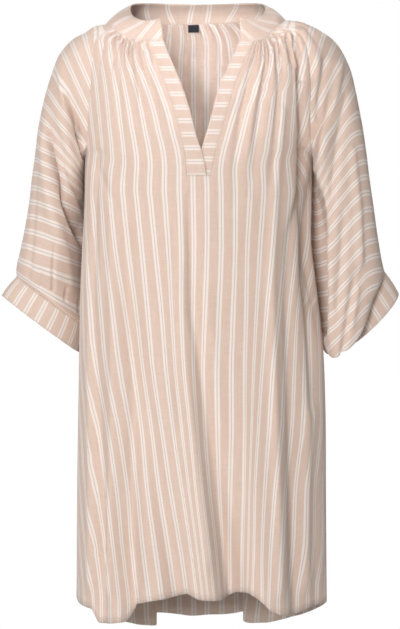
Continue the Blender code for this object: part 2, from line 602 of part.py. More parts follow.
def finish_body_edges(grid):
    """Draw the neck edge and the side edges of a body panel back from their seams."""
    rows = np.array(GATHERED_ROWS + PLAIN_ROWS)
    distance = np.where(rows < UNDERARM_STATION, RAGLAN_SET_BACK, SIDE_SET_BACK)[:, None]
    distance[(rows >= UNDERARM_STATION - 1) & (rows <= UNDERARM_STATION)] = FOLD_SET_BACK
    below = np.append(np.arange(1, len(rows)), len(rows) - 2)
    left, right = grid[below, 1], grid[below, -2]
    grid[0] = set_back(grid[0], grid[1], SEAM_SET_BACK)
    grid[:, 0] = set_back(grid[:, 0], left, distance)
    grid[:, -1] = set_back(grid[:, -1], right, distance)
    return grid


# ---------------------------------------------------------------- sleeves

def cap_stations(sign):
    """Sleeve stations above the underarm; the stretch inside the armhole is a plain chord."""
    front, back = front_raglan(sign), back_raglan(sign)
    name = side_name(sign)
    stations = [
        (neck_arc(sign * NECK_JUNCTION_FRONT, sign * NECK_SHOULDER),
         neck_arc(sign * NECK_SHOULDER, sign * NECK_JUNCTION_BACK)),
    ]
    swell = np.sin(np.linspace(0.0, math.pi, SAMPLES))
    for row in SLEEVE_CAP:
        on_front = read_at(front, [row.seam_front])[0]
        on_back = read_at(back, [row.seam_back])[0]
        crown = np.array([getattr(row, name + "_x"), CROWN_DEPTH, getattr(row, name + "_z")])
        front_corner = np.array([on_front[0], CROWN_DEPTH, on_front[2]])
        back_corner = np.array([on_back[0], CROWN_DEPTH, on_back[2]])
        outer_front = quarter_arc(front_corner, on_front, crown, ARM_ROUNDNESS)
        outer_back = quarter_arc(back_corner, crown, on_back, ARM_ROUNDNESS)
        outer_front[:, 1] -= row.swell_front * swell
        outer_back[:, 1] += row.swell_back * swell
        stations.append((outer_front, outer_back))
    rings = []
    for outer_front, outer_back in stations[:-1]:
        inner_front = np.repeat(outer_front[:1], SAMPLES, axis=0)
        inner_back = np.repeat(outer_back[-1:], SAMPLES, axis=0)
        rings.append(np.concatenate([inner_front, outer_front[1:], outer_back[1:],
                                     inner_back[1:]]))
    last = SLEEVE_CAP[-1]
    armhole_front = part_of(front, 1.0, last.seam_front)
    armhole_back = part_of(back, last.seam_back, 1.0)
    outer_front, outer_back = stations[-1]
    rings.append(np.concatenate([armhole_front, outer_front[1:], outer_back[1:],
                                 armhole_back[1:]]))
    return rings


def ring_axis(row, sign):
    """Direction in which the arm runs out of a ring, seen from the front."""
    axis = np.array([row.outer_z - row.inner_z, 0.0, row.inner_x - row.outer_x]) * sign
    return axis / np.linalg.norm(axis)


def arm_ring(row, sign, outer_exponent, inner_exponent):
    """Closed ring of a sleeve: innermost line, front, outermost line, back and round again."""
    outer = np.array([row.outer_x, CROWN_DEPTH, row.outer_z])
    inner = np.array([row.inner_x, INNER_DEPTH, row.inner_z])
    chord = inner - outer
    front = outer + chord * row.front_part
    back = outer + chord * 0.5
    front[1], back[1] = row.front, row.back
    front_outer = np.array([front[0], outer[1], front[2]])
    front_inner = np.array([front[0], inner[1], front[2]])
    back_outer = np.array([back[0], outer[1], back[2]])
    back_inner = np.array([back[0], inner[1], back[2]])
    ring = np.concatenate([
        quarter_arc(front_inner, inner, front, inner_exponent),
        quarter_arc(front_outer, front, outer, outer_exponent)[1:],
        quarter_arc(back_outer, outer, back, outer_exponent)[1:],
        quarter_arc(back_inner, back, inner, outer_exponent)[1:],
    ])
    middle = 0.5 * (row.front + row.back)
    half = 0.5 * (row.back - row.front)
    axis = ring_axis(row, sign)
    ring -= axis * (row.skew * (ring[:, 1:2] - middle) / half)
    part = np.linspace(0.0, 1.0, len(ring))
    strength = np.interp(part, [drop.part for drop in DROOP], [drop.strength for drop in DROOP])
    ring[:, 2] -= row.droop * strength
    return ring


def tuck_ring(row, sign):
    """Ring round the cuff seam, a little wider than the seam, in the plane of the seam."""
    ring = arm_ring(row, sign, CUFF_ROUNDNESS, CUFF_ROUNDNESS)
    away = ring - ring.mean(axis=0)
    axis = ring_axis(row, sign)
    away -= (away @ axis)[:, None] * axis
    away /= np.linalg.norm(away, axis=1, keepdims=True)
    turn = np.linspace(0.0, 2.0 * math.pi, len(ring))
    reach = CUFF_TUCK * (1.0 - CUFF_TUCK_LEVELLING * np.cos(turn) ** 2)
    return ring + reach[:, None] * away - CUFF_TUCK_RISE * axis


def arm_trough_depth(rows, parts, troughs):
    """Depth of the sleeve's troughs at each row and column, fading at both of their ends."""
    stations, shares = np.meshgrid(rows, parts, indexing="ij")
    total = np.zeros_like(stations)
    for trough in troughs:
        along = (stations - trough.start) / (trough.end - trough.start)
        centre = trough.start_part + (trough.end_part - trough.start_part) * along
        inside = smooth_step(-ARM_TROUGH_OVERRUN, ARM_TROUGH_RISE, along)
        inside *= smooth_step(1.0 + ARM_TROUGH_OVERRUN, 1.0 - ARM_TROUGH_RISE, along)
        total = np.maximum(total, trough.depth * inside
                           * np.exp(-((shares - centre) / trough.width)**2))
    return total


def sleeve_grid(sign, arm, troughs):
    """Points of a sleeve: all stations, every column of the ring, the last column closing it."""
    rings = cap_stations(sign)
    rings += [arm_ring(row, sign, ARM_ROUNDNESS, INNER_ROUNDNESS) for row in arm[:-1]]
    rings.append(tuck_ring(arm[-1], sign))
    rings.append(arm_ring(arm[-1], sign, CUFF_ROUNDNESS, CUFF_ROUNDNESS))
    rings = np.array(rings)
    inner = slice(0, SAMPLES - 1), slice(3 * SAMPLES - 2, None)
    for part in inner:
        rings[CAP_STATION - 1, part] = 2.0 * rings[CAP_STATION, part] - rings[CAP_STATION + 1, part]
    rows = np.array(CAP_ROWS + ARM_ROWS)
    shares = np.linspace(0.0, 1.0, 4 * QUARTER_COLUMNS + 1)
    grid = loft(rings, rows, shares)
    cap = rows < CAP_STATION
    for seam, name, column in ((front_raglan(sign), "seam_front", QUARTER_COLUMNS),
                               (back_raglan(sign), "seam_back", 3 * QUARTER_COLUMNS)):
        parts = [0.0] + [getattr(row, name) for row in SLEEVE_CAP]
        settle(grid, cap, column, along_seam(seam, parts, rows[cap]), QUARTER_COLUMNS // 2)
    near_body = smooth_step(*ARMHOLE_ROLL_SIDE, np.minimum(shares, 1.0 - shares))
    stand_off = 1.0 - np.exp(-np.maximum(rows - CAP_STATION, 0.0) / ARMHOLE_ROLL_START)
    stand_off *= smooth_step(*ARMHOLE_ROLL_END, rows)
    grid[..., 0] += sign * ARMHOLE_ROLL * stand_off[:, None] * near_body[None, :]
    normal = outward(grid, -sign)
    normal[:, 0] = normal[:, -1] = 0.5 * (normal[:, 0] + normal[:, -1])
    waves = (shares - 0.25) * 2.0 * SLEEVE_GATHERS
    push = gather_height(drop_below(grid), waves[None, :])
    push *= smooth_step(*SLEEVE_GATHER_ROWS, rows)[:, None]
    from_seam = np.minimum(shares, 1.0 - shares) - 0.25
    push *= np.where(cap[:, None], smooth_step(0.0, CAP_QUIET, from_seam), 1.0)
    push -= arm_trough_depth(rows, shares, troughs)
    return grid + push[..., None] * normal


# ---------------------------------------------------------------- small pieces

def collar_grid():
    """Stand collar between the neck seam and its own top edge, open at the front."""
    left_end = neck_angle_at(SLIT[0].left_free)
    right_end = neck_angle_at(SLIT[0].right_free)
    shares = np.linspace(0.0, 1.0, COLLAR_COLUMNS + 1)
    foot = read_at(neck_arc(left_end, right_end - 360.0), shares)
    left = [np.array([row.left, row.depth, row.height]) for row in COLLAR_TOP]
    right = [np.array([row.right, row.depth, row.height]) for row in COLLAR_TOP[-2::-1]]
    top = read_at(curve_through(left + right), shares)
    steps = np.linspace(0.0, 1.0, COLLAR_ROWS + 1)
    grid = np.array([top + (foot - top) * step for step in steps])
    swell = COLLAR_BULGE * 4.0 * steps * (1.0 - steps)
    grid += swell[:, None, None] * outward(grid, -1)
    grid[-1] = set_back(grid[-1], grid[-2], SEAM_SET_BACK)
    return grid


def band_grid(slit_column, free_column, behind):
    """Placket band between an edge of the slit and the band's free edge."""
    grid = []
    for station in (row for row in GATHERED_ROWS + PLAIN_ROWS if row <= SLIT_STATION):
        edge, free = slit_point(station, slit_column), slit_point(station, free_column)
        direction = (free - edge) / np.linalg.norm(free - edge)
        sunk = OVERLAP_STEP * smooth_step(OVERLAP_TOP, SLIT[-2].height, edge[2]) if behind else 0.0
        line = np.linspace(edge + SEAM_SET_BACK * direction, free, BAND_COLUMNS + 1)
        line[:, 1] += sunk
        grid.append(line)
    grid = np.array(grid)
    for end, inner in ((0, 1), (-1, -2)):
        step = grid[inner] - grid[end]
        grid[end] += FOLD_SET_BACK * step / np.linalg.norm(step, axis=-1, keepdims=True)
    return grid


def cuff_grid(seam_row, edge_row, sign):
    """Cuff between the sleeve's last ring and the cuff's free edge."""
    rings = [arm_ring(row, sign, CUFF_ROUNDNESS, CUFF_ROUNDNESS) for row in (seam_row, edge_row)]
    shares = np.linspace(0.0, 1.0, 4 * QUARTER_COLUMNS + 1)
    seam, edge = (read_at(ring, shares) for ring in rings)
    steps = np.linspace(0.0, 1.0, CUFF_ROWS + 1)
    grid = np.array([seam + (edge - seam) * step for step in steps])
    grid[0] = set_back(grid[0], grid[1], CUFF_SET_BACK)
    return grid


def label_grid(stations):
    """Label that hangs inside the back panel, a little in front of it."""
    places = np.linspace(LABEL_CENTRE_X + 0.5 * LABEL_WIDTH,
                         LABEL_CENTRE_X - 0.5 * LABEL_WIDTH, LABEL_COLUMNS + 1)
    drops = np.linspace(LABEL_DROP, LABEL_DROP + LABEL_HEIGHT, LABEL_ROWS + 1)
    lines = hermite(stations, np.arange(len(stations)), np.linspace(0.0, 1.0, 12))
    grid = np.empty((LABEL_ROWS + 1, LABEL_COLUMNS + 1, 3))
    for column, x in enumerate(places):
        down = np.array([[x, np.interp(x, line[::-1, 0], line[::-1, 1]),
                          np.interp(x, line[::-1, 0], line[::-1, 2])] for line in lines])
        grid[:, column] = read_at(down, drops / lengths_along(down)[-1])
    grid[..., 1] -= LABEL_OFFSET
    return grid


# ---------------------------------------------------------------- meshes

def cloth_material(name, colour, roughness):
    material = bpy.data.materials.new(name)
    material.use_nodes = True
    shader = material.node_tree.nodes["Principled BSDF"]
    shader.inputs["Base Color"].default_value = colour
    shader.inputs["Roughness"].default_value = roughness
    shader.inputs["Metallic"].default_value = 0.0
    return material


def grid_faces(rows, columns, wanted, coarse_from, wrap):
    """Faces of a grid; from row coarse_from on, only every second column is used."""
    def column_key(column):
        return 0 if wrap and column == columns - 1 else column

    faces = []
    for row in range(rows - 1):
        step = 1 if row + 1 < coarse_from else 2
        for column in range(0, columns - 1, step):
            if not wanted(row, column):
                continue
            upper = [column, column + step]
            if step == 2 and row < coarse_from:
                upper = [column, column + 1, column + 2]
            lower = [column + step, column]
            faces.append([(row, column_key(c)) for c in upper]
                         + [(row + 1, column_key(c)) for c in lower])
    return faces


def build_panel(name, grid, material, collection, wanted=lambda row, column: True,
                coarse_from=None, wrap=False):
    """Object made from a grid of points, given its wall by a Solidify modifier."""
    rows, columns = grid.shape[:2]
    faces = grid_faces(rows, columns, wanted, rows if coarse_from is None else coarse_from, wrap)
    builder = bmesh.new()
    corners = {}
    for face in faces:
        for key in face:
            if key not in corners:
                corners[key] = builder.verts.new(grid[key])
        builder.faces.new([corners[key] for key in reversed(face)])
    mesh = bpy.data.meshes.new(name)
    builder.to_mesh(mesh)
    builder.free()
    mesh.shade_smooth()
    mesh.materials.append(material)
    panel = bpy.data.objects.new(name, mesh)
    collection.objects.link(panel)
    wall = panel.modifiers.new("wall", "SOLIDIFY")
    wall.thickness = WALL
    wall.offset = 0.0
    return panel


def build_front(material, collection):
    shares, waves, quiet = front_shares()
    rows = np.array(GATHERED_ROWS + PLAIN_ROWS)
    first = FRONT_LEFT_COLUMNS
    last = FRONT_LEFT_COLUMNS + FRONT_MIDDLE_COLUMNS
    middle = (0.5 - MIDDLE_PART / 2.0, 0.5 + MIDDLE_PART / 2.0)
    grid = body_grid(front_stations(), shares, waves, quiet, HEM_FRONT,
                     ([0.0, 1.0 / 3.0, 2.0 / 3.0, 1.0], [0.0, *middle, 1.0]), FRONT_TROUGHS,
                     (front_raglan(-1), front_raglan(1)))
    beside_slit = (rows > 0.0) & (rows <= SLIT_STATION)
    for column, name in ((first, "left_slit"), (last, "right_slit")):
        exact = np.array([slit_point(row, name) for row in rows[beside_slit]])
        inner = grid[beside_slit, column - 1 if column == first else column + 1]
        grid[beside_slit, column] = set_back(exact, inner, SIDE_SET_BACK)
    grid = finish_body_edges(grid)
    slit_row = list(rows).index(SLIT_STATION)
    build_panel("front", grid, material, collection, coarse_from=len(GATHERED_ROWS),
                wanted=lambda row, column: row >= slit_row or not first <= column < last)


def build_back(material, collection):
    stations = back_stations()
    shares = np.linspace(0.0, 1.0, BACK_COLUMNS + 1)
    grid = body_grid(stations, shares, shares * BACK_GATHERS, 1.0, HEM_BACK, ([0.0, 1.0], [1.0, 0.0]),
                     BACK_TROUGHS, (back_raglan(1), back_raglan(-1)))
    build_panel("back", finish_body_edges(grid), material, collection,
                coarse_from=len(GATHERED_ROWS))
    return stations


def build_sleeve(sign, arm, troughs, material, collection):
    grid = sleeve_grid(sign, arm, troughs)
    first, last = QUARTER_COLUMNS, 3 * QUARTER_COLUMNS
    cap_end = len(CAP_ROWS)
    outer = slice(first, last + 1)
    grid[0, outer] = set_back(grid[0, outer], grid[1, outer], SEAM_SET_BACK)
    for edge, inner in ((first, first + 1), (last, last - 1)):
        grid[:cap_end, edge] = set_back(grid[:cap_end, edge], grid[:cap_end, inner], RAGLAN_SET_BACK)
    for inner in (slice(0, first), slice(last + 1, None)):
        grid[cap_end, inner] = set_back(grid[cap_end, inner], grid[cap_end + 1, inner], FOLD_SET_BACK)
    for corner, inner in ((first, first + 1), (last, last - 1)):
        step = grid[cap_end + 1, inner] - grid[cap_end, corner]
        grid[cap_end, corner] += RAGLAN_SET_BACK * step / np.linalg.norm(step)
    grid[-1] = set_back(grid[-1], grid[-2], CUFF_SET_BACK)
    build_panel("sleeve_" + side_name(sign), grid, material, collection, wrap=True,
                wanted=lambda row, column: row >= cap_end or first <= column < last)


def main():
    for item in list(bpy.data.objects):
        bpy.data.objects.remove(item, do_unlink=True)
    collection = bpy.data.collections.new("tunic_top")
    bpy.context.scene.collection.children.link(collection)
    cloth = cloth_material("striped_cloth", CLOTH_COLOUR, CLOTH_ROUGHNESS)
    cross_cloth = cloth_material("striped_bands", BAND_COLOUR, CLOTH_ROUGHNESS)
    label_cloth = cloth_material("label_tape", LABEL_COLOUR, LABEL_ROUGHNESS)

    build_front(cloth, collection)
    back = build_back(cloth, collection)
    build_sleeve(-1, LEFT_ARM, LEFT_ARM_TROUGHS, cloth, collection)
    build_sleeve(1, RIGHT_ARM, RIGHT_ARM_TROUGHS, cloth, collection)
    build_panel("collar", collar_grid(), cross_cloth, collection)
    build_panel("placket_left", band_grid("left_slit", "left_free", False), cross_cloth, collection)
    build_panel("placket_right", band_grid("right_slit", "right_free", True), cross_cloth, collection)
    build_panel("cuff_left", cuff_grid(LEFT_ARM[-1], LEFT_CUFF_EDGE, -1), cross_cloth, collection,
                wrap=True)
    build_panel("cuff_right", cuff_grid(RIGHT_ARM[-1], RIGHT_CUFF_EDGE, 1), cross_cloth, collection,
                wrap=True)
    build_panel("neck_label", label_grid(back), label_cloth, collection)


main()
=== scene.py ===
import math

import bmesh
import bpy
import numpy as np
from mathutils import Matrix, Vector


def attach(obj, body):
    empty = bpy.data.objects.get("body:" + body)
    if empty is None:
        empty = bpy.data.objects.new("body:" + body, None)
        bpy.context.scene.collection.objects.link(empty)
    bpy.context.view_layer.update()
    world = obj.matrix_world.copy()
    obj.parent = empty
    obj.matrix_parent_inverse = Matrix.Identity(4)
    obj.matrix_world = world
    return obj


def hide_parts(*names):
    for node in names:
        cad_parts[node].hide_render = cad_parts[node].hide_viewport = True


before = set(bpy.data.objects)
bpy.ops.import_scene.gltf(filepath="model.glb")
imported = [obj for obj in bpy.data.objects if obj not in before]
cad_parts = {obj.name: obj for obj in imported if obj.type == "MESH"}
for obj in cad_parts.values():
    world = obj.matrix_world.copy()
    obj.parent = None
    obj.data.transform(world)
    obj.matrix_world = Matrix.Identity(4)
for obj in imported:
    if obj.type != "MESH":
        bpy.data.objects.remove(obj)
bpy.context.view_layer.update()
print("frame loaded")


def addObject(name, data):
    made = bpy.data.objects.new(name, data)
    bpy.context.scene.collection.objects.link(made)
    return made


# the camera: its place, and the height that it sees at the depth of the shoulders
shot = dict(place=(0.0, -3.2, -0.41175), seenHeight=0.9435, sensor=36.0)


def makeCamera():
    data = bpy.data.cameras.new("shotCamera")
    data.sensor_width = shot["sensor"]
    data.lens = shot["sensor"] * -shot["place"][1] / shot["seenHeight"]
    camera = addObject("shotCamera", data)
    camera.location = shot["place"]
    camera.rotation_euler = (math.pi / 2, 0.0, 0.0)
    bpy.context.scene.camera = camera


makeCamera()


# a socket that can be used in sums
class Wire:
    def __init__(self, tree, socket=None):
        self.tree = tree
        self.socket = socket

    # any node: its type, its settings (set first), then values or links of its sockets
    def node(self, kind, settings, values, output=0):
        made = self.tree.nodes.new(kind)
        for name, value in settings.items():
            setattr(made, name, value)
        for name, value in values.items():
            if isinstance(value, Wire):
                self.tree.links.new(value.socket, made.inputs[name])
            else:
                made.inputs[name].default_value = value
        return Wire(self.tree, made.outputs[output])

    def link(self, value, socket):
        self.tree.links.new(value.socket, socket)

    def maths(self, operation, first, second=0.0):
        return self.node("ShaderNodeMath", dict(operation=operation), {0: first, 1: second})

    def __add__(self, other):
        return self.maths("ADD", self, other)

    __radd__ = __add__

    def __sub__(self, other):
        return self.maths("SUBTRACT", self, other)

    def __rsub__(self, other):
        return self.maths("SUBTRACT", other, self)

    def __mul__(self, other):
        return self.maths("MULTIPLY", self, other)

    __rmul__ = __mul__

    def __truediv__(self, other):
        return self.maths("DIVIDE", self, other)

    def __rtruediv__(self, other):
        return self.maths("DIVIDE", other, self)

    def __abs__(self):
        return self.maths("ABSOLUTE", self)

    def repeat(self, pitch):                    # distance from the nearest multiple of the pitch
        return (self.maths("FRACT", self / pitch + 0.5) - 0.5) * pitch

    def wave(self, pitch):
        return self.maths("SINE", self * (2.0 * math.pi / pitch))

    def fade(self, low, high):                  # 0 at low, 1 at high, soft at both ends
        return self.node("ShaderNodeMapRange", dict(interpolation_type="SMOOTHSTEP"),
                         {"Value": self, "From Min": low, "From Max": high})

    def mix(self, first, second):               # this wire is the factor between two colours
        return self.node("ShaderNodeMix", dict(data_type="RGBA"),
                         {0: self, 6: first, 7: second}, output=2)


millimetre = 0.001
tiny = 1e-9                                     # keeps a division away from zero
curveSamples = 97                               # points of a section, or of a quarter of a sleeve ring
fineSamples = 4 * curveSamples                  # points of a curve before it is read evenly
stepsForPoint = 12                              # steps for each point that a curve runs through


def evenly(count):
    return np.linspace(0.0, 1.0, count)


def smoothStep(low, high, value):               # 0 at low, 1 at high, soft at both ends
    t = np.clip((np.asarray(value, float) - low) / (high - low), 0.0, 1.0)
    return t * t * (3.0 - 2.0 * t)


def hermite(points, knots, values):             # a smooth curve through the points, one at each knot
    points, knots, values = (np.asarray(a, float) for a in (points, knots, values))
    slopes = np.gradient(points, knots, axis=0)
    cell = np.clip(np.searchsorted(knots, values, side="right") - 1, 0, len(knots) - 2)
    span = knots[cell + 1] - knots[cell]
    t = (values - knots[cell]) / span
    tail = (1,) * (points.ndim - 1)
    t, span = t.reshape(-1, *tail), span.reshape(-1, *tail)
    return ((2 * t**3 - 3 * t**2 + 1) * points[cell] + (t**3 - 2 * t**2 + t) * span * slopes[cell]
            + (3 * t**2 - 2 * t**3) * points[cell + 1] + (t**3 - t**2) * span * slopes[cell + 1])


def runningLength(curve):
    steps = np.linalg.norm(np.diff(curve, axis=0), axis=1)
    return np.concatenate([[0.0], np.cumsum(steps)])


def readAt(curve, shares):
    running = runningLength(curve)
    wanted = np.asarray(shares, float) * running[-1]
    return np.stack([np.interp(wanted, running, curve[:, axis]) for axis in range(3)], axis=-1)


def curveThrough(points):
    points = np.asarray(points, float)
    knots = runningLength(points)
    return hermite(points, knots, np.linspace(0.0, knots[-1], stepsForPoint * len(points)))


def bezierArc(start, startHandle, endHandle, end):
    t = evenly(fineSamples)[:, None]
    arc = ((1 - t)**3 * start + 3 * (1 - t)**2 * t * startHandle
           + 3 * (1 - t) * t**2 * endHandle + t**3 * end)
    return readAt(arc, evenly(curveSamples))


def quarterArc(corner, start, end, exponent):
    t = np.linspace(0.0, math.pi / 2, fineSamples)[:, None]
    arc = corner + (start - corner) * np.cos(t)**exponent + (end - corner) * np.sin(t)**exponent
    return readAt(arc, evenly(curveSamples))


def atDepth(point, depth):
    return np.array([point[0], depth, point[2]])


def partOf(curve, first, last):
    return readAt(curve, np.linspace(first, last, curveSamples))


def loft(stations, rows, shares):               # a grid of points through the stations' sections
    lines = hermite(stations, np.arange(len(stations)), rows)
    places = evenly(stations.shape[1])
    grid = np.empty((len(rows), len(shares), 3))
    for row, line in enumerate(lines):
        for axis in range(3):
            grid[row, :, axis] = np.interp(shares, places, line[:, axis])
    return grid


def outward(grid, side):
    normal = np.cross(np.gradient(grid, axis=0), np.gradient(grid, axis=1)) * side
    return normal / np.maximum(np.linalg.norm(normal, axis=-1, keepdims=True), tiny)


def ringOutward(grid, side):                    # the same on a ring, whose end columns meet
    normal = outward(grid, side)
    normal[:, 0] = normal[:, -1] = 0.5 * (normal[:, 0] + normal[:, -1])
    return normal


def ruled(first, last, steps):                  # rows that run evenly from one line to another
    return np.array([first + (last - first) * step for step in steps])


def settle(grid, rows, column, exact, reach):   # bring a column onto a line, its neighbours with it
    move = exact - grid[rows, column]
    for other in range(max(0, column - reach), min(grid.shape[1], column + reach + 1)):
        grid[rows, other] += move * (1.0 - abs(other - column) / (reach + 1.0))


def spread(knots, counts):                      # rows between knots, a count of steps for each
    rows = [np.linspace(a, b, n, endpoint=False) for a, b, n in zip(knots, knots[1:], counts)]
    return np.concatenate(rows + [[knots[-1]]])


# the cloth: pairs of pale lines on a warm ground, lengths in metres
stripedCloth = dict(
    pitch=0.0204, lineOffset=0.0022, lineHalf=0.00150, lineSoft=0.00035,
    ground=(0.615, 0.466, 0.388, 1.0), groundLight=(0.705, 0.562, 0.485, 1.0),
    line=(0.785, 0.715, 0.680, 1.0), gap=(0.600, 0.500, 0.440, 1.0),
    # cells of noise for each metre across and down, and its detail
    warp=(1500.0, 55.0, 2.0), weft=(45.0, 1300.0, 2.0), slub=(260.0, 18.0, 1.0),
    patch=(9.0, 6.0, 2.0), wander=(2.0, 30.0, 1.0), wanderDepth=0.0006, noiseRoughness=0.6,
    # how much threads and patches count, and between which sums they lighten the ground
    threadShare=0.36, patchShare=0.14, lighten=(0.30, 0.72),
    lineDensity=0.42, lineWear=1.1,             # least cover of the pale lines, and what threads add
    thread=0.0007, roughness=(0.72, 0.90), specular=0.25, sheen=0.30, sheenRoughness=0.5,
    bump=0.30, bumpDistance=0.0008,
    relief=dict(weave=0.10, heather=0.8, line=0.12, stitch=0.9, groove=1.4),
    stitchLength=0.0032, stitchHalf=0.00045, stitchEdge=2.2, stitchDash=(0.45, 0.34),
    stitchCover=0.8, stitchColour=(0.80, 0.68, 0.60, 1.0),
    # the groove beside the stitches: its width, and the painted shade in it, how strong and how dark
    grooveEdge=5.0, grooveShadeCover=0.16, grooveShadeColour=(0.30, 0.17, 0.11, 1.0))


# the shape that all pieces share: neck, slit and raglan seams, angles in degrees
neck = dict(
    centreX=-0.007, halfWidth=0.134, front=0.105, back=0.088, roundness=2.4,
    lean=0.003, leanStart=(-0.07, -0.02), junctionFront=63.0, shoulder=88.0, junctionBack=118.0,
    frontAngles=(-80.0, 80.0, 641),             # from, to, how many
    # depth, height
    profile=[(-0.1050, -0.0140), (-0.0966, -0.0145), (-0.0903, -0.0130), (-0.0797, -0.0073),
             (-0.0673, 0.0027), (-0.0540, 0.0140), (-0.0250, 0.0225), (0.0000, 0.0265),
             (0.0500, 0.0330), (0.0880, 0.0358)])

# height, depth, left slit, left free edge, right free edge, right slit
slitRows = [
    (-0.0147, -0.0975, -0.0740, -0.0530, 0.0575, 0.0785),
    (-0.0470, -0.1085, -0.0618, -0.0400, 0.0430, 0.0625),
    (-0.0800, -0.1150, -0.0493, -0.0262, 0.0285, 0.0495),
    (-0.1150, -0.1195, -0.0372, -0.0150, 0.0185, 0.0392),
    (-0.1500, -0.1225, -0.0283, -0.0060, 0.0088, 0.0288),
    (-0.1830, -0.1243, -0.0212, 0.0045, -0.0010, 0.0212),
    (-0.2114, -0.1250, -0.0187, 0.0098, -0.0100, 0.0155)]
slitColumns = dict(leftSlit=2, leftFree=3, rightFree=4, rightSlit=5)

# height, depth, left x, right x
raglanFront = [
    (0.0008, -0.058, -0.1461, 0.1455), (-0.0109, -0.062, -0.1545, 0.1541),
    (-0.0318, -0.064, -0.1580, 0.1594), (-0.0626, -0.064, -0.1595, 0.1622),
    (-0.0977, -0.062, -0.1628, 0.1622), (-0.1326, -0.056, -0.1650, 0.1630),
    (-0.1654, -0.040, -0.1680, 0.1650)]
raglanBack = [
    (0.0180, 0.060, -0.1460, 0.1440), (-0.0100, 0.074, -0.1560, 0.1550),
    (-0.0500, 0.080, -0.1610, 0.1600), (-0.0950, 0.076, -0.1640, 0.1620),
    (-0.1350, 0.062, -0.1670, 0.1640), (-0.1650, 0.036, -0.1700, 0.1660)]
underarm = (-0.1803, -0.005, -0.1715, 0.1678)


def neckPoint(angle):
    turn = math.radians(angle)
    across, along = math.sin(turn), math.cos(turn)
    power = 2.0 / neck["roundness"]
    reach = neck["front"] if along > 0 else neck["back"]
    x = neck["centreX"] + neck["halfWidth"] * math.copysign(abs(across)**power, across)
    y = -reach * math.copysign(abs(along)**power, along)
    depths, heights = zip(*neck["profile"])
    lean = neck["lean"] * (x - neck["centreX"]) / neck["halfWidth"]
    return np.array([x, y, np.interp(y, depths, heights) + lean * smoothStep(*neck["leanStart"], y)])


def neckArc(start, end):
    line = np.array([neckPoint(angle) for angle in np.linspace(start, end, fineSamples)])
    return readAt(line, evenly(curveSamples))


def neckAngleAt(x):
    angles = np.linspace(*neck["frontAngles"])
    return float(np.interp(x, [neckPoint(angle)[0] for angle in angles], angles))


def slitTopAngle(name):                         # where a line of the slit meets the neck seam
    return neckAngleAt(slitRows[0][slitColumns[name]])


def raglan(rows, junction, sign):
    column = 2 if sign < 0 else 3
    points = [neckPoint(sign * junction)]
    points += [np.array([row[column], row[1], row[0]]) for row in rows + [underarm]]
    return curveThrough(points)


def frontRaglan(sign):
    return raglan(raglanFront, neck["junctionFront"], sign)


def backRaglan(sign):
    return raglan(raglanBack, neck["junctionBack"], sign)


def alongSeam(seam, parts, rows):
    table = np.asarray(parts, float)[:, None]
    shares = hermite(table, np.arange(len(parts)), rows)[:, 0]
    return readAt(seam, np.clip(shares, 0.0, 1.0))


def slitPoint(station, name):
    column = slitColumns[name]
    table = np.array([[row[column], row[1], row[0]] for row in slitRows])
    table[0] = neckPoint(slitTopAngle(name))
    return hermite(table, np.arange(len(slitRows)), [station])[0]


# creases: soft troughs and ridges along short lines
def creaseHeight(points, creases):
    # a crease is a list of (x, z, height, width towards -X, width towards +X), in millimetres
    place = points[..., [0, 2]] / millimetre
    total = np.zeros(points.shape[:-1])
    for crease in creases:
        nearest = np.full(total.shape, np.inf)
        height = np.zeros(total.shape)
        for (x0, z0, h0, l0, r0), (x1, z1, h1, l1, r1) in zip(crease, crease[1:]):
            run = np.array([x1 - x0, z1 - z0])
            t = np.clip(((place - [x0, z0]) @ run) / (run @ run), 0.0, 1.0)
            off = place - [x0, z0] - t[..., None] * run
            distance = np.linalg.norm(off, axis=-1)
            width = np.where(off[..., 0] < 0.0, l0 + (l1 - l0) * t, r0 + (r1 - r0) * t)
            here = (h0 + (h1 - h0) * t) * np.exp(-(distance / width)**2)
            closer = distance < nearest
            height = np.where(closer, here, height)
            nearest = np.where(closer, distance, nearest)
        total += height
    return total * millimetre


# what the front and back panels share
body = dict(
    # place on the raglan seam, front turn, back turn, back height, back depth
    upper=[(0.12, 40, 30, 0.010, 0.0985), (0.28, 45, 27, -0.024, 0.1060),
           (0.45, 50, 27, -0.064, 0.1095), (0.63, 55, 33, -0.107, 0.1100),
           (0.82, 67, 48, -0.150, 0.1090)],
    sideHandle=0.40, centreHandle=0.47, frontDip=-0.2114, backDip=-0.1900,
    # height, left x, right x, side depth, front depth, back depth, front fullness, back fullness
    lower=[(-0.1803, -0.1715, 0.1678, -0.005, -0.1257, 0.1085, 0.70, 0.75),
           (-0.250, -0.1718, 0.1660, -0.022, -0.1270, 0.1090, 0.63, 0.72),
           (-0.310, -0.1745, 0.1658, -0.028, -0.1295, 0.1110, 0.58, 0.62),
           (-0.380, -0.1774, 0.1740, -0.030, -0.1325, 0.1150, 0.58, 0.55),
           (-0.460, -0.1790, 0.1825, -0.030, -0.1365, 0.1215, 0.58, 0.52),
           (-0.560, -0.1806, 0.1862, -0.030, -0.1430, 0.1290, 0.58, 0.50),
           (-0.680, -0.1822, 0.1868, -0.030, -0.1500, 0.1360, 0.58, 0.50),
           (-0.830, -0.1830, 0.1880, -0.030, -0.1560, 0.1430, 0.58, 0.50)],
    frontReach=0.60, backReach=0.54, underarmStation=6,
    rowKnots=[0.0, 0.25, 1.8, 4.0, 6.0, 9.0, 12.6, 13.0], rowCounts=[10, 38, 34, 26, 34, 46, 6],
    gatherEnd=2.6,                              # the station where the cloth's gathers have run out
    # shares of the width: what moves with a seam, and where the folds beside it fade in
    settleShare=0.105, quietShare=0.03,
    troughEase=1.15)                            # a trough deepens until a little past its low end


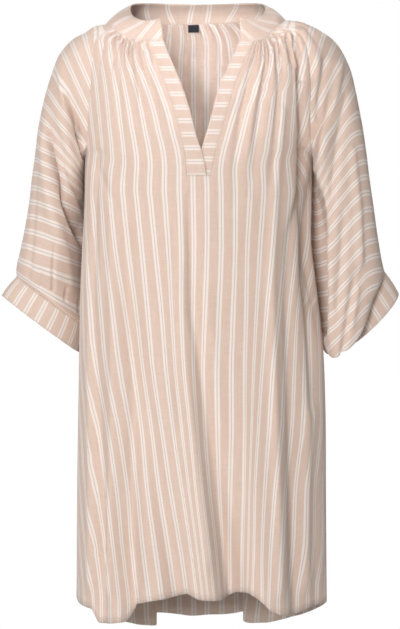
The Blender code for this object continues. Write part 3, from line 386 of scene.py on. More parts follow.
def upperSection(seamPoint, centrePoint, turn):
    span = np.linalg.norm(centrePoint - seamPoint)
    inwards = -np.sign(seamPoint[0])
    bulge = np.sign(centrePoint[1] - seamPoint[1])
    angle = math.radians(turn)
    start = np.array([inwards * math.cos(angle), bulge * math.sin(angle), 0.0])
    end = np.array([-inwards, 0.0, 0.0])
    return bezierArc(seamPoint, seamPoint + body["sideHandle"] * span * start,
                     centrePoint + body["centreHandle"] * span * end, centrePoint)


def sidePoint(row, sign):
    return np.array([row[1] if sign < 0 else row[2], row[3], row[0]])


def levelHalf(row, sign, depth, fullness, reach, centreHeight):
    side = sidePoint(row, sign)
    centre = np.array([0.0, depth, centreHeight])
    start = side + np.array([0.0, fullness * (depth - row[3]), 0.0])
    end = centre + np.array([reach * side[0], 0.0, 0.0])
    return bezierArc(side, start, end, centre)


def sideSeam(sign, rows, hem):
    points = [sidePoint(row, sign) for row in body["lower"]]
    points[-1][2] = hem[0 if sign < 0 else -1][1]
    return hermite(points, np.arange(len(points)) + body["underarmStation"], rows)


def frontStations():
    seams = {sign: frontRaglan(sign) for sign in (-1, 1)}
    pairs = [(neckArc(-neck["junctionFront"], slitTopAngle("leftSlit")),
              neckArc(slitTopAngle("rightSlit"), neck["junctionFront"]))]
    for index, row in enumerate(body["upper"], start=1):
        left, right = (readAt(seams[sign], [row[0]])[0] for sign in (-1, 1))
        pairs.append((upperSection(left, slitPoint(index, "leftSlit"), row[1]),
                      upperSection(right, slitPoint(index, "rightSlit"), row[1])[::-1]))
    stations = []
    for left, right in pairs:
        middle = np.linspace(left[-1], right[0], curveSamples)
        stations.append(np.concatenate([left, middle[1:], right[1:]]))
    for index, row in enumerate(body["lower"]):
        dip = body["frontDip"] if index == 0 else row[0]
        left, right = (levelHalf(row, sign, row[4], row[6], body["frontReach"], dip)
                       for sign in (-1, 1))
        whole = np.concatenate([left, right[-2::-1]])
        running = runningLength(whole)
        first, last = (np.interp(slitRows[-1][slitColumns[name]], whole[:, 0], running) / running[-1]
                       for name in ("leftSlit", "rightSlit"))
        stations.append(np.concatenate([partOf(whole, 0.0, first), partOf(whole, first, last)[1:],
                                        partOf(whole, last, 1.0)[1:]]))
    return np.array(stations)


def backStations():
    seams = {sign: backRaglan(sign) for sign in (-1, 1)}
    stations = [readAt(neckArc(neck["junctionBack"], 360.0 - neck["junctionBack"]),
                       evenly(2 * curveSamples - 1))]
    for row in body["upper"]:
        centre = np.array([0.0, row[4], row[3]])
        right, left = (upperSection(readAt(seams[sign], [row[0]])[0], centre, row[2])
                       for sign in (1, -1))
        stations.append(np.concatenate([right, left[-2::-1]]))
    for index, row in enumerate(body["lower"]):
        dip = body["backDip"] if index == 0 else row[0]
        right, left = (levelHalf(row, sign, row[5], row[7], body["backReach"], dip)
                       for sign in (1, -1))
        stations.append(np.concatenate([right, left[-2::-1]]))
    return np.array(stations)


def troughDepth(points, troughs):
    x, z = points[..., 0], points[..., 2]
    total = np.zeros_like(x)
    for top, topX, low, lowX, depth, leftWidth, rightWidth in troughs:
        share = (top - z) / (top - low)
        centre = topX + (lowX - topX) * share
        width = np.where(x < centre, leftWidth, rightWidth)
        ease = smoothStep(0.0, body["troughEase"], share)
        total += depth * ease * np.exp(-((x - centre) / width)**2)
    return total


def dropBelow(grid):
    steps = np.linalg.norm(np.diff(grid, axis=0), axis=-1)
    return np.concatenate([np.zeros((1, grid.shape[1])), np.cumsum(steps, axis=0)])


# how far one pleat may differ from the next, as parts of their own measures
pleatLuck = dict(place=0.28, width=(0.75, 1.35), depth=(0.55, 1.30), length=(0.45, 1.60),
                 tail=0.12, widening=0.9, levelling=0.55)


def pleatHeight(shares, drop, pleats, seed):
    # uneven pleats: each has its own place, lean, depth, width and length below the seam
    luck = np.random.default_rng(seed)
    total = np.zeros(drop.shape)
    for index in range(pleats["count"]):
        shift = luck.uniform(-pleatLuck["place"], pleatLuck["place"])
        place = (index + 0.5 + shift) / pleats["count"]
        lean = luck.uniform(-1.0, 1.0) * pleats["lean"]
        width = pleats["width"] * luck.uniform(*pleatLuck["width"])
        depth = pleats["depth"] * luck.uniform(*pleatLuck["depth"])
        length = pleats["length"] * luck.uniform(*pleatLuck["length"])
        fade = smoothStep(0.0, pleats["start"], drop)
        fade = fade * smoothStep(length, pleatLuck["tail"] * length, drop)
        widen = 1.0 + pleatLuck["widening"] * drop / pleats["length"]
        off = (shares[None, :] - place) * pleats["span"] - lean * drop
        total -= depth * fade * np.exp(-(off / (width * widen))**2)
    return total - total.mean(axis=1, keepdims=True) * pleatLuck["levelling"]


def bodyGrid(stations, shares, pleatPush, panel, raglanSeams):
    stations = stations.copy()
    hemPlaces = np.interp(evenly(stations.shape[1]), *panel["hemShares"])
    stations[-1, :, 2] = np.interp(hemPlaces, *zip(*panel["hem"]))
    rows = spread(body["rowKnots"], body["rowCounts"])
    grid = loft(stations, rows, shares)
    above = rows < body["underarmStation"]
    parts = [0.0] + [row[0] for row in body["upper"]] + [1.0]
    reach = int(body["settleShare"] * len(shares))
    for column, seam in zip((0, len(shares) - 1), raglanSeams):
        sign = np.sign(seam[-1, 0])
        exact = np.concatenate([alongSeam(seam, parts, rows[above]),
                                sideSeam(sign, rows[~above], panel["hem"])])
        settle(grid, slice(None), column, exact, reach)
    quiet = smoothStep(0.0, body["quietShare"], np.minimum(shares, 1.0 - shares))
    push = pleatPush(dropBelow(grid)) - troughDepth(grid, panel["troughs"])
    push += creaseHeight(grid, panel["creases"]) * panel["creaseDepth"]
    return rows, grid, grid + (push * quiet[None, :])[..., None] * outward(grid, 1)


def buildCloth(name, grid, cloth, edge, wall, wanted=lambda row, column: True, wrap=False):
    # cloth and edge hold two numbers for each point of the grid, kept as UV maps in metres
    rows, columns = grid.shape[:2]
    builder = bmesh.new()
    points = {}
    clothLayer = builder.loops.layers.uv.new("cloth")
    edgeLayer = builder.loops.layers.uv.new("edge")

    def point(row, column):
        key = (row, 0 if wrap and column == columns - 1 else column)
        if key not in points:
            points[key] = builder.verts.new(grid[key])
        return points[key]

    for row in range(rows - 1):
        for column in range(columns - 1):
            if not wanted(row, column):
                continue
            corners = [(row + 1, column), (row + 1, column + 1), (row, column + 1), (row, column)]
            face = builder.faces.new([point(*corner) for corner in corners])
            face.smooth = True
            for loop, corner in zip(face.loops, corners):
                loop[clothLayer].uv = cloth[corner]
                loop[edgeLayer].uv = edge[corner]
    mesh = bpy.data.meshes.new(name)
    builder.to_mesh(mesh)
    builder.free()
    piece = addObject(name, mesh)
    thick = piece.modifiers.new("wall", "SOLIDIFY")
    thick.thickness = wall
    thick.offset = 0.0
    return piece


def dress(piece, node, material):
    piece.data.materials.append(material)
    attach(piece, "root")
    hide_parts(node)


def stackPair(first, second):
    return np.stack([first, second], axis=-1)


# the front panel, with a slit for the neck
frontPanel = dict(
    creaseDepth=1.5, columns=(88, 12, 98), wall=0.0008, flat=(0.52, 0.88), area=0.36,
    # where the columns' shares lie along the hem, then its height at each share
    hemShares=(evenly(4), [0.0, 0.46, 0.54, 1.0]),
    hem=[(0.000, -0.8210), (0.033, -0.8293), (0.066, -0.8354), (0.099, -0.8378), (0.145, -0.8400),
         (0.164, -0.8605), (0.197, -0.8598), (0.265, -0.8550), (0.288, -0.8290), (0.329, -0.8252),
         (0.361, -0.8215), (0.394, -0.8191), (0.427, -0.8150), (0.460, -0.8109), (0.500, -0.8193),
         (0.540, -0.8207), (0.575, -0.8209), (0.598, -0.8170), (0.626, -0.8113), (0.655, -0.8115),
         (0.684, -0.8219), (0.713, -0.8376), (0.741, -0.8440), (0.770, -0.8459), (0.813, -0.8490),
         (0.856, -0.8440), (0.914, -0.8391), (1.000, -0.8375)],
    # top, top x, low, low x, depth, width to the left, width to the right
    troughs=[(-0.120, 0.1520, -0.600, 0.1560, 0.007, 0.017, 0.018),
             (-0.400, 0.1740, -0.840, 0.1790, 0.012, 0.034, 0.007),
             (-0.200, -0.1020, -0.600, -0.1000, 0.006, 0.012, 0.020),
             (-0.330, -0.1480, -0.840, -0.1455, 0.014, 0.010, 0.010),
             (-0.330, -0.1080, -0.815, -0.0340, 0.022, 0.016, 0.018),
             (-0.600, -0.1180, -0.830, -0.1050, 0.020, 0.010, 0.013),
             (-0.440, -0.0050, -0.815, 0.0480, 0.045, 0.016, 0.030),
             (-0.180, 0.1240, -0.830, 0.1440, 0.012, 0.014, 0.014)],
    leftPleats=dict(count=12, span=0.125, width=0.0018, depth=0.0062, length=0.085, lean=0.05,
                    start=0.004),
    rightPleats=dict(count=14, span=0.128, width=0.0018, depth=0.0070, length=0.095, lean=0.05,
                     start=0.004),
    seeds=(11, 23),                             # for the pleats on the left and on the right
    quietSlit=0.07,                             # share of a side where pleats fade in, at the slit
    neckCloth=0.120,                            # cloth gathered into each half of the neck seam
    slitHalf=0.0195,                            # half the cloth width that the slit takes
    leanBetween=(-0.150, -0.240),               # heights between which the stripes start to lean
    # where some of the stripes run below the slit, in millimetres: across, at each depth
    course=dict(
        reach=150, depths=(233, 319, 405, 492, 578, 664, 751, 823),
        numbers=(-11, -8, -6, -4, -3, -1, 1, 3, 4, 6, 7, 8, 10),
        places=[(-203, -158, -132, -93, -73, -30, 10, 51, 73, 112, 132, 151, 184),
                (-197, -152, -123, -84, -64, -27, 10, 51, 68, 105, 124, 141, 170),
                (-188, -145, -109, -76, -55, -27, 7, 48, 67, 96, 115, 130, 155),
                (-178, -136, -96, -68, -48, -23, 4, 45, 65, 89, 105, 123, 152),
                (-164, -118, -84, -55, -38, -14, 6, 45, 65, 83, 99, 118, 149),
                (-151, -105, -76, -42, -25, -6, 13, 43, 64, 78, 93, 108, 139),
                (-138, -99, -64, -27, -12, 4, 23, 42, 62, 77, 89, 101, 135),
                (-130, -90, -54, -17, -3, 12, 29, 43, 62, 74, 90, 98, 127)]),
    # x, z, height above the cloth, width towards -X, width towards +X, in millimetres
    creases=[
        [(-17.3, -241.2, -1.5, 4, 10), (-15.8, -318.9, -4, 4, 13), (-13, -409.6, -6, 4, 16),
         (-4.3, -465.7, -7, 5, 18), (4.3, -531.9, -6, 6, 18), (13, -592.3, -3, 8, 16)],
        [(-28.8, -347.7, 1.5, 8, 6), (-24.5, -448.4, 3, 9, 6), (-14.4, -534.8, 4, 10, 6),
         (-1.4, -635.5, 4.5, 10, 6), (14.4, -765, 4, 10, 7)],
        [(7.2, -376.5, 1.5, 7, 10), (14.4, -462.8, 2.5, 8, 11), (27.3, -563.6, 3, 8, 12),
         (51.8, -707.5, 3, 9, 12)],
        [(-105, -254.2, -1.5, 8, 12), (-109.4, -304.5, -3.5, 8, 13), (-105, -434.1, -5, 8, 14),
         (-99.3, -534.8, -5.5, 9, 14), (-102.2, -635.5, -5.5, 9, 14), (-100.7, -736.2, -5, 9, 15),
         (-89.2, -808.2, -4, 10, 15)],
        [(-129.5, -203.8, 1.5, 7, 7), (-128.1, -318.9, 3, 8, 7), (-125.2, -448.4, 3.5, 8, 7),
         (-125.2, -578, 4, 9, 8), (-129.5, -707.5, 5, 9, 8), (-130.9, -811.1, 5, 9, 8)],
        [(-72, -390.9, 1.5, 12, 12), (-57.6, -506, 2.5, 13, 13), (-50.4, -649.9, 3, 14, 14),
         (-43.2, -793.8, 2, 14, 14)],
        [(-40.3, -290.2, -1, 6, 7), (-34.5, -434.1, -1.8, 7, 8), (-25.9, -578, -2, 8, 8)],
        [(150, -160, -3, 8, 10), (158, -230, -8, 10, 10), (163, -330, -11, 12, 10),
         (168, -420, -9, 14, 10), (172, -540, -4, 14, 10)],
        [(143.9, -54.2, -5, 3, 6), (148.2, -124.7, -9, 4, 8), (152.5, -175, -9, 5, 8),
         (149.7, -232.6, -5, 6, 8), (132.4, -297.3, -3.5, 8, 10), (128.1, -390.9, -4.5, 9, 12),
         (135.3, -563.6, -4.5, 10, 14), (143.9, -805.3, -3.5, 10, 14)],
        [(119.4, -117.5, 2, 6, 5), (109.4, -232.6, 2.5, 7, 7), (103.6, -362.1, 3, 8, 7),
         (107.9, -534.8, 3.5, 8, 7), (113.7, -707.5, 3.5, 8, 8), (115.1, -808.2, 3, 8, 8)],
        [(156.9, -390.9, 1.5, 6, 6), (162.6, -563.6, 3, 7, 6), (166.9, -808.2, 3, 8, 6)],
        [(80.6, -25.4, -3, 3, 4), (70.5, -71.4, -4, 4, 6), (59, -120.4, -3.5, 5, 8),
         (51.8, -175, -2, 6, 9), (51.8, -247, -0.5, 7, 9)],
        [(100.7, -22.5, -3, 3, 4), (90.7, -81.5, -3.5, 4, 6), (80.6, -146.3, -2.5, 5, 8),
         (74.8, -232.6, -1, 7, 9)],
        [(90.7, -45.5, 2, 4, 4), (79.1, -103.1, 2.5, 5, 5), (69.1, -175, 1.5, 6, 7)],
        [(116.6, -25.4, -3, 2.5, 3), (115.1, -74.3, -3.5, 3, 4), (110.8, -146.3, -2.5, 5, 6),
         (103.6, -218.2, -1, 6, 8)],
        [(137, -4, -6, 2.2, 3), (144, -34, -9, 2.8, 4.5), (150, -65.7, -8, 3, 5)],
        [(126.5, 0, -5, 2, 2.5), (131, -18, -6, 2, 3), (134, -40, -3, 3, 4)],
        [(-96.4, -25.4, -2.5, 3, 3), (-90.7, -67.1, -2.5, 4, 5), (-83.5, -131.9, -1.5, 6, 7),
         (-77.7, -203.8, -0.5, 8, 8)],
        [(-72, -31.1, -2.5, 3, 3), (-61.9, -74.3, -2.5, 4, 5), (-48.9, -124.7, -1.5, 6, 6)],
        [(-120.9, -19.6, -2.5, 3, 3), (-119.4, -74.3, -2.5, 4, 5), (-115.1, -146.3, -2, 6, 7),
         (-109.4, -232.6, -1, 7, 9)],
        [(-148.2, -175, -2, 5, 6), (-155.4, -261.4, -3, 5, 7), (-156.9, -390.9, -2.5, 6, 7),
         (-152.5, -534.8, -2.5, 6, 8), (-146.8, -707.5, -3, 6, 8), (-146.8, -808.2, -3, 6, 8)],
        [(-164, -333.3, 1.5, 5, 5), (-162.6, -477.2, 2, 5, 5), (-159.7, -649.9, 2.5, 6, 5),
         (-161.2, -808.2, 2.5, 6, 5)],
        [(-152.5, -196.6, -1.5, 5, 5), (-129.5, -239.8, -2, 6, 6), (-106.5, -297.3, -1.2, 7, 7)]])


def frontPleats(drop):
    first, last = frontPanel["columns"][0], sum(frontPanel["columns"][:2])
    left, right = evenly(first + 1), evenly(frontPanel["columns"][2] + 1)
    seeds, quiet = frontPanel["seeds"], frontPanel["quietSlit"]
    total = np.zeros(drop.shape)
    total[:, :first + 1] = pleatHeight(left, drop[:, :first + 1], frontPanel["leftPleats"], seeds[0])
    total[:, :first + 1] *= smoothStep(0.0, quiet, 1.0 - left)
    total[:, last:] = pleatHeight(right, drop[:, last:], frontPanel["rightPleats"], seeds[1])
    total[:, last:] *= smoothStep(0.0, quiet, right)
    return total


def acrossFrom(grid, column):                   # running length along each row from a column
    steps = np.linalg.norm(np.diff(grid, axis=1), axis=-1)
    running = np.concatenate([np.zeros((len(grid), 1)), np.cumsum(steps, axis=1)], axis=1)
    return running - running[:, column:column + 1]


def evenAcross(calm, folded, column):           # folded lengths, scaled back to each row's plain width
    plain, creased = acrossFrom(calm, column), acrossFrom(folded, column)
    left = plain[:, :1] / np.minimum(creased[:, :1], -tiny)
    right = plain[:, -1:] / np.maximum(creased[:, -1:], tiny)
    return np.where(creased < 0.0, creased * left, creased * right)


def withGathers(across, width, neckCloth, rows):    # rows near the neck hold more cloth than shows
    spare = np.maximum(neckCloth / np.maximum(width, tiny) - 1.0, 0.0)
    return across * (1.0 + smoothStep(body["gatherEnd"], 0.0, rows)[:, None] * spare)


def stripeNumber(grid, across, course):         # which stripe lies at each place of the cloth
    depths, numbers = course["depths"], course["numbers"]
    below = np.clip(-grid[..., 2].ravel() / millimetre, depths[0], depths[-1])
    places = hermite(course["places"], depths, below).reshape(*grid.shape[:2], -1) * millimetre
    total, last = float(numbers[0]), len(numbers) - 2
    for index in range(last + 1):
        low, high = places[..., index], places[..., index + 1]
        lowest, highest = (0.0 if index else -np.inf), (1.0 if index < last else np.inf)
        part = np.clip((grid[..., 0] - low) / (high - low), lowest, highest)
        total = total + part * (numbers[index + 1] - numbers[index])
    # past the reach of these places, round the sides, stripes lie at their own spacing
    near = np.abs(grid[..., 0]) < course["reach"] * millimetre
    for row, length, inside in zip(total, across, near):
        start, end = np.flatnonzero(inside)[[0, -1]]
        row[:start] = row[start] + (length[:start] - length[start]) / stripedCloth["pitch"]
        row[end:] = row[end] + (length[end:] - length[end]) / stripedCloth["pitch"]
    return total


def makeFront(material):
    counts = frontPanel["columns"]
    shares = spread(evenly(4), counts)          # left of the slit, the slit, right of the slit
    first, last = counts[0], counts[0] + counts[1]
    rows, calm, grid = bodyGrid(frontStations(), shares, frontPleats, frontPanel,
                                (frontRaglan(-1), frontRaglan(1)))
    slitRow = int(np.searchsorted(rows, body["underarmStation"] - tiny))
    for column, name in ((first, "leftSlit"), (last, "rightSlit")):
        grid[:slitRow + 1, column] = [slitPoint(row, name) for row in rows[:slitRow + 1]]

    # stripes run parallel to the slit, and lean as the folds take them below it
    slitHalf, halfPitch = frontPanel["slitHalf"], 0.5 * stripedCloth["pitch"]
    across = evenAcross(calm, grid, first)
    left, right = across[:, :first + 1], evenAcross(calm, grid, last)[:, last:]
    left = withGathers(left, -left[:, :1], frontPanel["neckCloth"], rows) - slitHalf
    right = withGathers(right, right[:, -1:], frontPanel["neckCloth"], rows) + slitHalf
    centre = np.linspace(-slitHalf, slitHalf, counts[1] + 1)[None, :].repeat(len(rows), axis=0)
    stripes = np.concatenate([left, centre[:, 1:], right[:, 1:]], axis=1) + halfPitch
    leaning = stripeNumber(grid, across, frontPanel["course"]) * stripedCloth["pitch"]
    stripes += (leaning - stripes) * smoothStep(*frontPanel["leanBetween"], grid[..., 2])
    drop = dropBelow(grid)
    fromHem = drop[-1:] - drop
    build = buildCloth("frontCloth", grid, stackPair(stripes, drop), stackPair(fromHem, across),
                       frontPanel["wall"],
                       wanted=lambda row, column: row >= slitRow or not first <= column < last)
    dress(build, "front", material)


# the back panel, which runs from the right side to the left
backPanel = dict(
    creaseDepth=1.3, columns=198, wall=0.0008, flat=(0.56, 0.93), area=0.42, seed=37,
    neckCloth=0.345,                            # cloth gathered into the neck seam
    hemShares=([0.0, 1.0], [1.0, 0.0]),
    hem=[(0.000, -0.8210), (0.033, -0.8290), (0.067, -0.8420), (0.100, -0.8480), (0.133, -0.8600),
         (0.167, -0.8740), (0.200, -0.8800), (0.235, -0.8820), (0.267, -0.8863), (0.310, -0.8854),
         (0.333, -0.8780), (0.367, -0.8757), (0.433, -0.8800), (0.500, -0.8822), (0.567, -0.8810),
         (0.600, -0.8782), (0.633, -0.8732), (0.667, -0.8777), (0.700, -0.8830), (0.733, -0.8849),
         (0.767, -0.8797), (0.833, -0.8697), (0.900, -0.8554), (0.967, -0.8430), (1.000, -0.8375)],
    troughs=[(-0.380, -0.0700, -0.880, -0.1020, 0.062, 0.024, 0.020),
             (-0.400, 0.0680, -0.880, 0.0980, 0.060, 0.018, 0.024),
             (-0.300, -0.0200, -0.880, -0.0150, 0.014, 0.018, 0.016),
             (-0.250, 0.1300, -0.860, 0.1500, 0.014, 0.014, 0.014),
             (-0.260, -0.1340, -0.860, -0.1520, 0.012, 0.014, 0.014)],
    pleats=dict(count=30, span=0.320, width=0.0023, depth=0.0052, length=0.110, lean=0.04,
                start=0.004),
    creases=[
        [(-12, -20, -3, 5, 6), (-16, -120, -4, 8, 9), (-22, -260, -3.5, 12, 12), (-24, -420, -3, 14, 14),
         (-20, -600, -3, 14, 14)],
        [(30, -30, -3, 5, 6), (34, -110, -3.5, 8, 9), (40, -220, -2.5, 11, 11), (46, -360, -1, 14, 14)],
        [(-55, -30, -3, 5, 6), (-62, -100, -4, 8, 9), (-70, -220, -4, 12, 12), (-75, -380, -3, 14, 14)],
        [(5, -100, 2.5, 10, 10), (8, -280, 3.5, 14, 14), (12, -500, 4, 16, 16), (12, -800, 4, 16, 16)],
        [(78, -30, -3, 5, 5), (86, -120, -4, 8, 8), (98, -240, -4.5, 10, 11), (104, -400, -3, 13, 13)],
        [(-100, -50, -3, 5, 6), (-112, -140, -4.5, 8, 9), (-122, -280, -4.5, 10, 11),
         (-120, -440, -2.5, 12, 12)],
        [(-40, -160, 2, 10, 10), (-46, -340, 3, 12, 12), (-52, -600, 4, 14, 14), (-56, -840, 4, 14, 14)],
        [(60, -140, 2, 9, 9), (68, -300, 2.5, 10, 10)],
        [(118, -100, -3, 5, 6), (130, -200, -4, 8, 8), (136, -360, -4, 10, 10), (142, -600, -4, 11, 11),
         (146, -820, -4, 12, 12)],
        [(-136, -300, -3, 7, 8), (-142, -500, -4, 9, 10), (-148, -780, -4, 10, 10)],
        [(150, -130, -2.5, 6, 6), (120, -170, -3, 8, 8), (85, -200, -1.5, 9, 9)],
        [(-152, -130, -2.5, 6, 6), (-128, -180, -3, 8, 8), (-100, -230, -1.5, 9, 9)]])


def makeBack(material):
    shares = evenly(backPanel["columns"] + 1)
    pleats, seed = backPanel["pleats"], backPanel["seed"]
    rows, calm, grid = bodyGrid(backStations(), shares,
                                lambda drop: pleatHeight(shares, drop, pleats, seed),
                                backPanel, (backRaglan(1), backRaglan(-1)))
    centre = backPanel["columns"] // 2
    across = evenAcross(calm, grid, centre)
    stripes = withGathers(across, across[:, -1:] - across[:, :1], backPanel["neckCloth"], rows)
    stripes += 0.5 * stripedCloth["pitch"]
    drop = dropBelow(grid)
    build = buildCloth("backCloth", grid, stackPair(stripes, drop),
                       stackPair(drop[-1:] - drop, across), backPanel["wall"])
    dress(build, "back", material)


# what both sleeves share
sleeve = dict(
    quarters=(50, 50, 30, 30), wall=0.0008, crownDepth=0.010, innerDepth=0.030, capStation=6,
    roundness=0.90, innerRoundness=1.50, cuffRoundness=1.0,
    # the rounded edge down the front: rounds of it, stations it sets in over, share of the ring
    softening=90, softStart=0.8, softPart=(0.13, 0.03),
    # how ridges begin and end along their length, and the share of the ring where pleats fade in
    ridgeStart=(-0.25, 0.15), ridgeEnd=(1.25, 0.85), pleatFade=0.04,
    # creases fade out over a share of the ring at a seam, and over stations below the armhole
    creaseSeam=0.05, creaseArmhole=0.7,
    frontDepths=(0.022, 0.002),                 # depths between which the back turns to the front
    # where stripes slip into the trough beside the body: places across, and stations it sets in over
    troughSide=(0.192, 0.158), troughStart=2.0,
    # how the cloth stands out above the cuff
    tuck=0.006, tuckLevelling=0.75, tuckRise=0.002,
    # how the sleeve stands off the body below the armhole
    roll=0.0026, rollStart=0.05, rollEnd=(8.5, 7.0), rollSide=(0.28, 0.18),
    # place on the front seam, on the back seam, left crown x and z, right crown x and z, swells
    cap=[(0.170, 0.12, -0.1580, 0.0185, 0.1500, 0.0262, 0.000, 0.000),
         (0.270, 0.28, -0.1690, 0.0128, 0.1680, 0.0195, 0.000, 0.000),
         (0.400, 0.42, -0.1895, 0.0020, 0.1862, 0.0100, 0.000, 0.002),
         (0.540, 0.56, -0.2030, -0.0110, 0.2030, -0.0030, 0.000, 0.007),
         (0.665, 0.68, -0.2145, -0.0285, 0.2155, -0.0215, 0.002, 0.014),
         (0.810, 0.80, -0.2265, -0.0625, 0.2262, -0.0455, 0.008, 0.021)],
    # how strongly a ring droops, by the share of the way round it
    droop=[(0.000, 0.00), (0.125, 0.45), (0.219, 0.90), (0.250, 0.95), (0.281, 1.00), (0.312, 1.06),
           (0.344, 1.12), (0.375, 0.55), (0.406, 0.38), (0.437, 0.25), (0.469, 0.12), (0.500, 0.00),
           (1.000, 0.00)],
    rowKnots=[0.0, 0.25, 2.0, 6.0, 6.12, 7.0, 13.0, 13.85, 14.0, 15.0, 16.0],
    rowCounts=[8, 30, 54, 3, 16, 104, 18, 6, 14, 12],
    pleats=dict(count=7, span=0.075, width=0.0022, depth=0.0052, length=0.060, lean=0.06,
                start=0.009))

# one arm and then the other, with their creases in millimetres as on the front
leftArm = dict(
    name="sleeveLeftCloth", node="sleeve_left", sign=-1, seed=51, flat=(0.42, 0.46), area=0.145,
    cuffFlat=(0.33, 0.042), creaseDepth=1.0,
    # stripe places in metres at the stations down to the armhole, and how close they lie below it
    stripeKnots=[-0.028, -0.017, -0.005, 0.015, 0.035, 0.053, 0.0705], outerScale=0.95,
    # stations between which each column takes its own spacing, the part of the ring over which
    # slip takes the place of outerSlip, and how far stripes slip at each station
    ownSpacing=(20.0, 21.0), slipSide=(0.02, 0.27), troughSlip=0.0,
    outerSlip=[(0.0, 0.0), (16.0, 0.0)],
    slip=[(4.5, 0.0), (5.5, 0.005), (6.5, 0.011), (7.5, 0.015), (9.5, 0.016), (11.0, 0.011),
          (12.5, 0.006), (16.0, 0.004)],
    # outer x and z, inner x and z, front depth, back depth, front part, droop, skew
    rings=[(-0.2356, -0.0959, -0.1695, -0.1990, -0.057, 0.078, 0.90, 0.000, 0.000),
           (-0.2430, -0.1341, -0.1725, -0.2172, -0.058, 0.082, 0.80, 0.000, 0.000),
           (-0.2475, -0.1718, -0.1737, -0.2384, -0.058, 0.084, 0.72, 0.000, 0.000),
           (-0.2520, -0.2049, -0.1740, -0.2611, -0.058, 0.085, 0.66, 0.000, 0.000),
           (-0.2558, -0.2395, -0.1745, -0.2869, -0.058, 0.085, 0.62, 0.000, 0.000),
           (-0.2618, -0.2771, -0.1750, -0.3186, -0.056, 0.084, 0.60, 0.000, 0.000),
           (-0.2693, -0.3132, -0.1750, -0.3520, -0.050, 0.081, 0.58, 0.004, 0.000),
           (-0.2755, -0.3400, -0.1735, -0.4050, -0.036, 0.074, 0.53, 0.004, 0.000),
           (-0.2754, -0.3553, -0.1738, -0.4292, -0.026, 0.066, 0.50, 0.000, 0.000)],
    cuffEdge=(-0.2978, -0.3832, -0.1835, -0.4684, -0.027, 0.067, 0.50, 0.000, 0.000),
    # station and share of the ring where a ridge starts and ends, height, width
    ridges=[(5.2, 0.400, 7.2, 0.300, 0.006, 0.036), (8.0, 0.395, 12.0, 0.250, 0.007, 0.036),
            (8.0, 0.600, 13.0, 0.680, 0.007, 0.040)],
    creases=[
        [(-226.6, -106.7, -1, 4, 10), (-224.8, -145.2, -2, 4, 18), (-221, -173.2, -3, 4.5, 24),
         (-212.7, -211, -4, 5, 26), (-203.1, -241.2, -5, 5.5, 24), (-187.6, -269.2, -6, 6, 20),
         (-177.2, -294.3, -6, 6, 14), (-172.8, -310.6, -5, 5, 12)],
        [(-224.5, -131.9, -4, 2, 2.2), (-221.6, -161.4, -11, 2.2, 2.4), (-215.6, -190.9, -15, 2.4, 2.6),
         (-206.8, -223.4, -18, 2.8, 3), (-197.9, -250, -22, 3.4, 3.8), (-189.1, -275.1, -24, 3.6, 4.2),
         (-180.2, -295.8, -22, 3.4, 3.8), (-172.8, -307.6, -12, 2.8, 3)],
        [(-200.9, -77.3, -4, 2, 2.2), (-195, -99.4, -10, 2.2, 2.4), (-187.6, -124.5, -15, 2.4, 2.6),
         (-178.7, -151.1, -18, 2.8, 3), (-169.9, -179.2, -16, 2.8, 3)],
        [(-212.7, -154, 2, 5, 4), (-197.9, -213.1, 4, 6, 4), (-183.1, -250, 5, 6, 4),
         (-171.3, -279.6, 5, 6, 4)],
        [(-201.2, -60.2, -1, 4, 6), (-193.6, -97.9, -2, 4, 7), (-182.4, -135.7, -3, 5, 8),
         (-169.1, -173.2, -4, 5, 8)],
        [(-214.2, -94.9, 2, 6, 6), (-203.8, -139.2, 3, 7, 7), (-192, -190.9, 3.5, 7, 7),
         (-177.2, -235.2, 3, 7, 7)],
        [(-214.9, -303.2, -1, 2, 2), (-217.1, -338.6, -3, 2.5, 2.5), (-218.6, -375.6, -3.5, 2.5, 2.5)],
        [(-199.4, -372.6, -2, 2, 2.5), (-200.9, -390.3, -2.5, 2.5, 3)],
        [(-181.7, -390.3, -2, 2.5, 2.5), (-181.7, -408.1, -2.5, 2.5, 3)],
        [(-233.4, -343.1, -1, 2, 2), (-236.3, -371.1, -2.5, 2, 2.5)],
        [(-242.2, -183.6, -1.5, 4, 4), (-245.2, -242.6, -2.5, 4, 5), (-249.6, -309.1, -2.5, 4, 5),
         (-254, -353.4, -2, 4, 4)],
        [(-206.8, -279.6, 2, 6, 6), (-197.9, -323.9, 3, 6, 6), (-192, -375.6, 2, 6, 6)],
        [(-174.3, -323.9, -3, 4, 4), (-177.2, -368.2, -3, 4, 5), (-171.3, -405.1, -2, 4, 4)]],
    backCreases=[
        [(-175, -70, -2, 5, 5), (-188, -130, -4.5, 6, 7), (-196, -200, -5, 7, 8),
         (-190, -260, -4, 7, 8)],
        [(-215, -70, -2, 5, 5), (-224, -140, -4, 6, 7), (-232, -220, -3.5, 7, 7),
         (-240, -290, -2, 7, 7)],
        [(-205, -160, 2.5, 7, 7), (-212, -250, 3, 8, 8), (-224, -330, 2, 8, 8)],
        [(-250, -240, -1.5, 4, 4), (-256, -310, -3, 4, 5), (-262, -345, -3, 4, 4)],
        [(-228, -345, -2, 2.5, 3), (-226, -372, -3, 2.5, 3)],
        [(-205, -350, -2, 3, 3), (-202, -385, -3, 3, 3)],
        [(-186, -290, -2.5, 5, 5), (-194, -360, -3, 5, 6)]])

